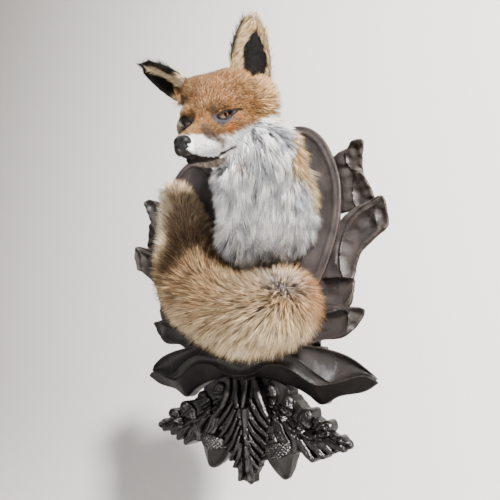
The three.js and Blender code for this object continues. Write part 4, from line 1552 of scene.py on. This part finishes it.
def leaf_shape(p, rows, drop, scoops, edge, seed, band=None):
    """A leaf's face let down by drop, with its hollows, a groove along its band if it has one, and its
    edge rounded over a width and by a drop of its own."""
    gap = outline_gap(p, rows_outline(rows))
    h = spread(p, rows, 4, 5) - drop
    for outline, is_curved, rim, hollow, width, tilt in scoops:
        h = scoop(h, p, closed_curve(outline) if is_curved else outline, rim, hollow, width, tilt)
    if band:
        h = groove(h, p, open_curve(band), 2.2, 1.6)
    h = edge_round(h, gap, *edge)
    return gap, h + gouged(p, 12, 0.35, seed), spread(p, rows, 6, 7)


def upper_leaf_shape(p):
    """A tip scoop and a long scoop beside a low band that meets the panel."""
    return leaf_shape(p, UPPER_LEAF, 4, UPPER_SCOOPS, (3, 1.2), seed=72)


def middle_leaf_shape(p):
    """A turned tip, one long scoop with a raised band over it, and a sunk foot."""
    return leaf_shape(p, MIDDLE_LEAF, 1.5, MIDDLE_SCOOPS, (2.5, 1.0), seed=73, band=MIDDLE_BAND)


def lower_leaf_shape(p):
    """A small tip scoop and a deep long one."""
    return leaf_shape(p, LOWER_LEAF, 1.0, LOWER_SCOOPS, (2.5, 1.0), seed=74)


# x, z and front depth along the bow's edges and ridges, from the middle outwards
BOW_FOOT = [
    (-6, -174, 24), (29, -173, 24), (56, -178, 22), (78, -184, 20), (99, -194, 19), (117, -205, 17),
    (141, -194, 17), (172, -188, 18), (193, -178, 21),
]
BOW_RIDGE = [
    (-6, -171, 32), (12, -171, 35), (29, -166, 37), (47, -157, 38.5), (69, -156, 38.5), (90, -164, 38),
    (108, -175, 36), (122, -180, 34), (143, -177, 32), (178, -168, 30), (194, -175, 25),
]
BOW_RIM = [
    (-6, -158, 31), (30, -150, 34), (48, -147, 35.5), (77, -144, 36.5), (94, -148, 37), (112, -159, 36.5),
    (126, -169, 35), (143, -177, 32), (178, -168, 30), (194, -175, 25),
]
BOW_TOP = [
    (-6, -126, 20), (28, -122, 20), (54, -119, 22), (80, -125, 28), (104, -131, 33), (132, -136, 32),
    (160, -145, 31), (181, -159, 29.5), (194, -173, 25),
]
BOW_WING = [
    (-0.8, -174, -0.8, -126, 0, 0, 0, 0),
    (29, -173, 28, -122, 0, 0, 0, 0),
    (56, -178, 54, -119, 0, 0, 0, 0),
    (78, -184, 80, -125, 0, 0, 0, 0),
    (99, -194, 104, -131, 0, 0, 0, 0),
    (117, -205, 132, -136, 0, 0, 0, 0),
    (141, -194, 160, -145, 0, 0, 3, 8),
    (172, -188, 181, -159, 0, 0, 7, 12),
    (190, -179, 193, -174, 0, 0, 9, 13),
]


def ridge_place(p, ridge):
    """Side distance from a ridge line, and the ridge's own depth beside each point."""
    line = open_curve([r[:2] for r in ridge])
    along, side = line_place(p, line)
    run = np.concatenate([[0], np.cumsum(np.linalg.norm(np.diff(line, axis=0), axis=1))])
    knots = np.linspace(0, len(line) - 1, len(ridge))
    depth = np.interp(np.arange(len(line)), knots, [r[2] for r in ridge])
    return side, np.interp(along, run, depth)


def ruled(here, there, sag):
    """A face carved straight from one ridge line to another, hollowed between them by sag."""
    near, far = np.abs(here[0]), np.abs(there[0])
    t = near / np.maximum(near + far, 1e-6)
    return mix(here[1], there[1], t) - sag * np.sin(math.pi * t) ** 0.7


def bow_shape(p):
    """One wing: a polished scoop, a moulded band, and a steep face down to the foot."""
    gap = outline_gap(p, rows_outline(BOW_WING))
    foot, ridge, rim, top = (ridge_place(p, line) for line in (BOW_FOOT, BOW_RIDGE, BOW_RIM, BOW_TOP))
    h = ruled(rim, top, 6.0 * step(p[:, 0], 70, 100) + 1.0)
    h = np.where(rim[0] < 0, ruled(ridge, rim, 2.6), h)
    h = np.where(ridge[0] < 0, ruled(ridge, foot, 0.8), h)
    h = edge_round(h, gap, 2.0, 1.0)
    return gap, h + gouged(p, 12, 0.35, 75), spread(p, BOW_WING, 6, 7)


# lobes: centre line, half width, height of the crest
SIDE_RIB = [(42, -211), (64, -223), (85, -236), (108, -240), (129, -238), (155, -243)]
SIDE_CURLS = [
    ([(46, -206), (46, -194), (44, -188)], 9.5, 5.5),
    ([(66, -220), (72, -208), (74, -202)], 11.5, 6.5),
    ([(92, -233), (100, -222), (104, -217)], 11.5, 6.5),
    ([(118, -239), (127, -231), (131, -228)], 10.0, 6.0),
    ([(140, -242), (152, -245), (156, -246)], 7.5, 4.5),
]
SIDE_LOBES = [
    ([(49, -219), (54, -234), (61, -248), (73, -259)], 9.0, 4),
    ([(63, -226), (77, -239), (82, -250), (81, -261)], 5.6, 6.5),
    ([(83, -237), (90, -249), (98, -260), (106, -267)], 6.2, 5.5),
    ([(96, -241), (106, -249), (115, -257), (121, -262)], 5.8, 5.5),
    ([(110, -241), (121, -248), (132, -256)], 5.6, 5),
    ([(125, -242), (136, -247), (149, -252)], 5.0, 4.5),
]
CENTRE_RIB = [(-2, -199), (0, -223), (1, -239), (2, -259), (1, -281), (2, -309)]
CENTRE_STRAPS = [
    ([(-12, -177), (-11, -193), (-7, -212)], 4.6, 6),
    ([(8, -177), (6, -193), (3, -212)], 3.8, 7),
    ([(22, -177), (27, -192), (34, -208), (43, -221)], 5.6, 7),
    ([(-26, -177), (-27, -194), (-34, -210), (-46, -226)], 5.6, 6),
]
CENTRE_LOBES = [
    ([(-17, -207), (-31, -225), (-45, -240)], 3.6, 4), ([(-13, -218), (-26, -238), (-40, -254)], 3.5, 4),
    ([(-10, -229), (-21, -248), (-35, -265)], 3.4, 4), ([(-8, -240), (-17, -258), (-30, -275)], 3.3, 4),
    ([(-6, -251), (-13, -268), (-24, -283)], 3.3, 4), ([(-5, -262), (-9, -277), (-18, -291)], 3.3, 4),
    ([(14, -202), (25, -219), (41, -235)], 3.8, 4), ([(11, -217), (22, -234), (40, -246)], 3.6, 4),
    ([(9, -230), (19, -245), (37, -257)], 3.5, 4), ([(7, -241), (15, -256), (31, -268)], 3.3, 4),
    ([(6, -252), (12, -266), (27, -278)], 3.3, 4), ([(5, -264), (9, -276), (20, -287)], 3.3, 4),
    ([(-4, -280), (-8, -293), (-11, -307)], 3.8, 4), ([(7, -278), (10, -290), (13, -305)], 3.8, 4),
]


def carve_lobes(h, gap, p, base, lobes, vein, knurl=0.0):
    """Rounded lobes laid over the ground in turn, each with its own cut edge and vein."""
    for k, (line, width, crest) in enumerate(lobes):
        curve = open_curve(line, 4)
        along, side = line_place(p, curve)
        t = along / np.linalg.norm(np.diff(curve, axis=0), axis=1).sum()
        half = width * (0.6 + 0.4 * step(t, 0, 0.4)) * (1 - 0.25 * step(t, 0.7, 1))
        over = np.clip(np.abs(side) / half, 0, 1)
        top = base + crest * (np.sqrt(1 - 0.85 * over**2) - 0.35 * (t - 0.6) ** 2)
        top = top - vein * np.clip(1 - np.abs(np.abs(side) - 0.33 * half) / 0.7, 0, 1)
        top = top - knurl * np.abs(np.sin(along * 0.3 + 1.7 * k)) - 0.5 * (k % 2)
        inside = np.abs(side) < half
        h = np.where(inside, np.maximum(h, top), h)
        gap = np.minimum(gap, np.abs(side) - half)
    return h, gap


def rib_of(h, p, line, width, rise):
    """A raised rib with a trench on each side."""
    _, side = line_place(p, open_curve(line))
    rib = np.exp(-((side / width) ** 2))
    trench = np.exp(-(((np.abs(side) - 2.1 * width) / (0.6 * width)) ** 2))
    return h + rise * rib - 0.55 * rise * trench


def side_leaf_shape(p):
    """A leaf with knobbly curls above its midrib and long fluted lobes below."""
    web = outline_gap(p, rows_outline(SIDE_LEAF, 6)) + mix(-2.5, 3, step(p[:, 1], -186, -196))
    base = spread(p, SIDE_LEAF, 4, 5) - 3
    h, gap = base - 4.0, web
    h, gap = carve_lobes(h, gap, p, base - 1, SIDE_LOBES, 1.2)
    h, gap = carve_lobes(h, gap, p, base, SIDE_CURLS, 1.3, 2.6)
    h = rib_of(h, p, SIDE_RIB, 2.3, 3.0)
    return gap, h + gouged(p, 7, 0.5, 76), spread(p, SIDE_LEAF, 6, 7)


def centre_leaf_shape(p):
    """The long middle leaf: straps at the top, then curved lobes down to a blunt tip."""
    web = outline_gap(p, rows_outline(CENTRE_LEAF, 6)) + mix(-2.5, 2, step(p[:, 1], -186, -196))
    base = spread(p, CENTRE_LEAF, 4, 5) - 3
    h, gap = base - 3.5, web
    h, gap = carve_lobes(h, gap, p, base, CENTRE_LOBES, 0.9)
    h = rib_of(h, p, CENTRE_RIB, 3.4, 3.5)
    h, gap = carve_lobes(h, gap, p, base + 0.5, CENTRE_STRAPS, 0.0)
    return gap, h + gouged(p, 7, 0.4, 77), spread(p, CENTRE_LEAF, 6, 7)


CUP_WEAVE = 5.4  # spacing of the cuts across an acorn's cup


def acorn_shape(p):
    """A cross-cut cup over a faceted nut."""
    outline = rows_outline(ACORN, 6)
    gap = outline_gap(p, outline)
    from_stalk = p - np.array([55, -254])
    along = from_stalk @ np.array([0.16, -0.987])
    side = from_stalk @ np.array([0.987, 0.16])
    dome = np.sqrt(np.clip(1 - (side / 23) ** 2, 0.05, 1))
    cup = along < 17 - 0.012 * side**2
    right, left = (np.abs(((side + way * along) / CUP_WEAVE) % 1 - 0.5) for way in (1, -1))
    weave = np.minimum(right, left) * 2
    nut = np.minimum(31 - 0.33 * np.abs(side - 2) - 0.28 * (along - 17), 30.0)
    h = np.where(cup, 20 + 11 * dome + 1.6 * np.minimum(weave * 2, 1), nut)
    h = edge_round(h, gap, 5, 4)
    return gap, h, spread(p, ACORN, 6, 7)


WOOD_DARK = (0.010, 0.0078, 0.0075, 1)
WOOD_LIGHT = (0.030, 0.0235, 0.0225, 1)
WOOD_WORN = (0.060, 0.043, 0.036, 1)
WAX = (0.85, 0.92, 1.0, 1)
# heights in metres between which the wood gets darker, down over the bow and then over the spray
BOW_HEIGHTS = (-0.16, -0.04)
SPRAY_HEIGHTS = (-0.215, -0.185)


def carved_wood():
    """Near-black stained wood, brown on worn edges, with fine grain. It is waxed on the faces that look
    forward and dull on undersides, side walls and near the wall, where painted shade also darkens it."""
    material, tree, shader = node_tree("carved_wood")
    place = node(tree, "TexCoord").outputs["Object"]
    spot = node(tree, "SeparateXYZ", {0: place}).outputs
    surface = node(tree, "NewGeometry").outputs
    normal = node(tree, "SeparateXYZ", {0: surface["Normal"]}).outputs
    stretch = node(tree, "Mapping", {"Vector": place, "Scale": (26.0, 26.0, 3.2)}).outputs["Vector"]
    grain = noise(tree, stretch, 14.0, 6.0, 0.62)
    cloud = noise(tree, place, 38.0, 4.0)
    pores = noise(tree, stretch, 60.0, 2.0)

    def product(a, b):
        return maths(tree, "MULTIPLY", a, b)

    stained = two_tones(tree, cloud, 0.32, WOOD_DARK, 0.72, WOOD_LIGHT)
    stained = blend(tree, ramp(tree, surface["Pointiness"], 0.51, 0.6), stained, WOOD_WORN)
    lower = ramp(tree, spot["Z"], *SPRAY_HEIGHTS, first=0.42)
    tone = product(ramp(tree, spot["Z"], *BOW_HEIGHTS, first=0.5, last=1.6), lower)
    tone = product(tone, ramp(tree, grain, first=0.72, last=1.25))
    above = ramp(tree, normal["Z"], -0.4, 0.0)
    off_wall = ramp(tree, spot["Y"], -0.005, -0.015)
    face_on = ramp(tree, normal["Y"], -0.1, -0.5)
    waxed_and_lit = product(product(above, off_wall), face_on)
    # painted shade: the colour is darkened on undersides, side walls and near the wall
    tone = product(tone, ramp(tree, waxed_and_lit, first=0.4))
    waxed_and_lit = product(waxed_and_lit, ramp(tree, spot["Z"], *SPRAY_HEIGHTS, first=0.85))
    rough = product(ramp(tree, grain, first=0.34, last=0.56), lower)
    feed(tree, shader, {
        "Base Color": scaled(tree, stained, tone),
        "Specular IOR Level": ramp(tree, waxed_and_lit, first=0.08, last=0.5),
        "Roughness": maths(tree, "MAXIMUM", rough, 0.2),
        "Normal": bump(tree, pores, 0.5, 0.0008),
        "Coat Weight": ramp(tree, waxed_and_lit, last=0.25),
        "Coat Roughness": 0.35,
        "Coat Tint": WAX,
    })
    return material


def mirror_mesh(mesh, name):
    other = mesh.copy()
    other.name = name
    other.transform(Matrix.Scale(-1, 4, (1, 0, 0)))
    other.flip_normals()
    return other


# how far off the middle line an undercut starts
EVERYWHERE = -20
NOWHERE = 500
PANEL_STEP = 1.6
CENTRE_STEP = 0.9
# the shape, the rows of its outline, the mesh's step, and where its undercut starts
CARVINGS = {
    "upper_leaf": (upper_leaf_shape, UPPER_LEAF, 1.1, EVERYWHERE),
    "middle_leaf": (middle_leaf_shape, MIDDLE_LEAF, 1.1, EVERYWHERE),
    "lower_leaf": (lower_leaf_shape, LOWER_LEAF, 1.1, 110),
    "bow": (bow_shape, BOW_WING, 1.1, 120),
    "spray_leaf": (side_leaf_shape, SIDE_LEAF, 0.9, NOWHERE),
    "acorn": (acorn_shape, ACORN, 0.8, NOWHERE),
}


def carve(name, shape, outline, voxel, under, wood):
    """The carving on the right and its mirror on the left."""
    mesh = board(name + "_right", outline, shape, voxel, under)
    right = show("carved_" + name + "_right", mesh, wood)
    left = show("carved_" + name + "_left", mirror_mesh(mesh, name + "_left"), wood)
    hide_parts(name + "_right")
    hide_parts(name + "_left")


def build_wood():
    wood = carved_wood()
    panel = board("panel", full_panel(), panel_shape, PANEL_STEP, EVERYWHERE)
    panel = show("carved_panel", panel, wood)
    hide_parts("panel")
    for name, (shape, rows, voxel, under) in CARVINGS.items():
        carve(name, shape, rows_outline(rows), voxel, under, wood)
    centre = board("centre", rows_outline(CENTRE_LEAF), centre_leaf_shape, CENTRE_STEP, NOWHERE)
    centre = show("carved_spray_centre", centre, wood)
    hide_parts("spray_leaf_centre")


# ---- camera, light and ground ----
CAMERA_PLACE = (0.42116, -0.56937, -0.14293)
CAMERA_YAW = math.radians(36.76)
CAMERA_PITCH = math.radians(12.32)
CAMERA_ROLL = math.radians(-0.63)
CAMERA_LENS = 34.56
LIGHT_AIM = (0.03, -0.1, 0.0)
PAPER = (0.74, 0.72, 0.70, 1)
SKY = (0.95, 0.97, 1.0, 1)
# name, place, size, power, colour
LAMPS = [
    ("key", (2.45, -1.9, 1.35), 0.28, 600, (1.0, 0.97, 0.92)),
    ("above", (-0.3, -0.6, 1.8), 0.45, 12, (0.9, 0.95, 1.0)),
    ("fill", (0.9, -2.2, 0.0), 1.6, 8, (0.92, 0.95, 1.0)),
]


def set_camera():
    """The camera turned by yaw, then pitch, then roll."""
    yaw, pitch, roll = CAMERA_YAW, CAMERA_PITCH, CAMERA_ROLL
    ahead = Vector((-math.sin(yaw) * math.cos(pitch), math.cos(yaw) * math.cos(pitch), math.sin(pitch)))
    level = Vector((math.cos(yaw), math.sin(yaw), 0))
    above = level.cross(ahead)
    right = level * math.cos(roll) + above * math.sin(roll)
    up = above * math.cos(roll) - level * math.sin(roll)
    camera = bpy.data.objects.new("camera", bpy.data.cameras.new("camera"))
    camera.data.lens = CAMERA_LENS
    camera.data.sensor_width = 36
    camera.data.clip_start = 0.01
    turn = Matrix((right, up, -ahead)).transposed().to_4x4()
    camera.matrix_world = Matrix.Translation(CAMERA_PLACE) @ turn
    bpy.context.collection.objects.link(camera)
    bpy.context.scene.camera = camera


def backdrop_mesh(floor, back, reach, bend):
    """A floor that curves up into a wall behind."""
    arc = [(back - bend + bend * math.sin(a), floor + bend - bend * math.cos(a))
           for a in np.linspace(0, math.pi / 2, 13)]
    line = [(-reach, floor), *arc, (back, reach)]
    points = [(x, y, z) for y, z in line for x in (-reach, reach)]
    faces = [(2 * i, 2 * i + 1, 2 * i + 3, 2 * i + 2) for i in range(len(line) - 1)]
    mesh = bpy.data.meshes.new("backdrop")
    mesh.from_pydata(points, [], faces)
    mesh.shade_smooth()
    return mesh


def lamp(name, place, size, power, colour):
    """A square soft light aimed at the object."""
    light = bpy.data.lights.new(name, "AREA")
    light.size = size
    light.energy = power
    light.color = colour
    piece = bpy.data.objects.new(name, light)
    piece.location = place
    towards = Vector(LIGHT_AIM) - piece.location
    piece.rotation_euler = towards.to_track_quat("-Z", "Y").to_euler()
    bpy.context.collection.objects.link(piece)


def set_stage():
    """Pale paper, a dim sky and the lamps."""
    material, tree, shader = node_tree("pale_paper")
    feed(tree, shader, {"Base Color": PAPER, "Roughness": 0.9})
    sheet = bpy.data.objects.new("backdrop", backdrop_mesh(floor=-0.7, back=0.9, reach=4.0, bend=0.5))
    sheet.data.materials.append(material)
    bpy.context.collection.objects.link(sheet)
    world = bpy.data.worlds.new("studio")
    world.use_nodes = True
    feed(world.node_tree, world.node_tree.nodes["Background"], {"Color": SKY, "Strength": 0.11})
    bpy.context.scene.world = world
    for values in LAMPS:
        lamp(*values)


body_skin, tail_skin = build_skins()
paint_skins(body_skin, tail_skin)
coat_head_and_neck(body_skin)
coat_tail(tail_skin)
build_eyes()
build_nose()
build_wood()
set_camera()
set_stage()
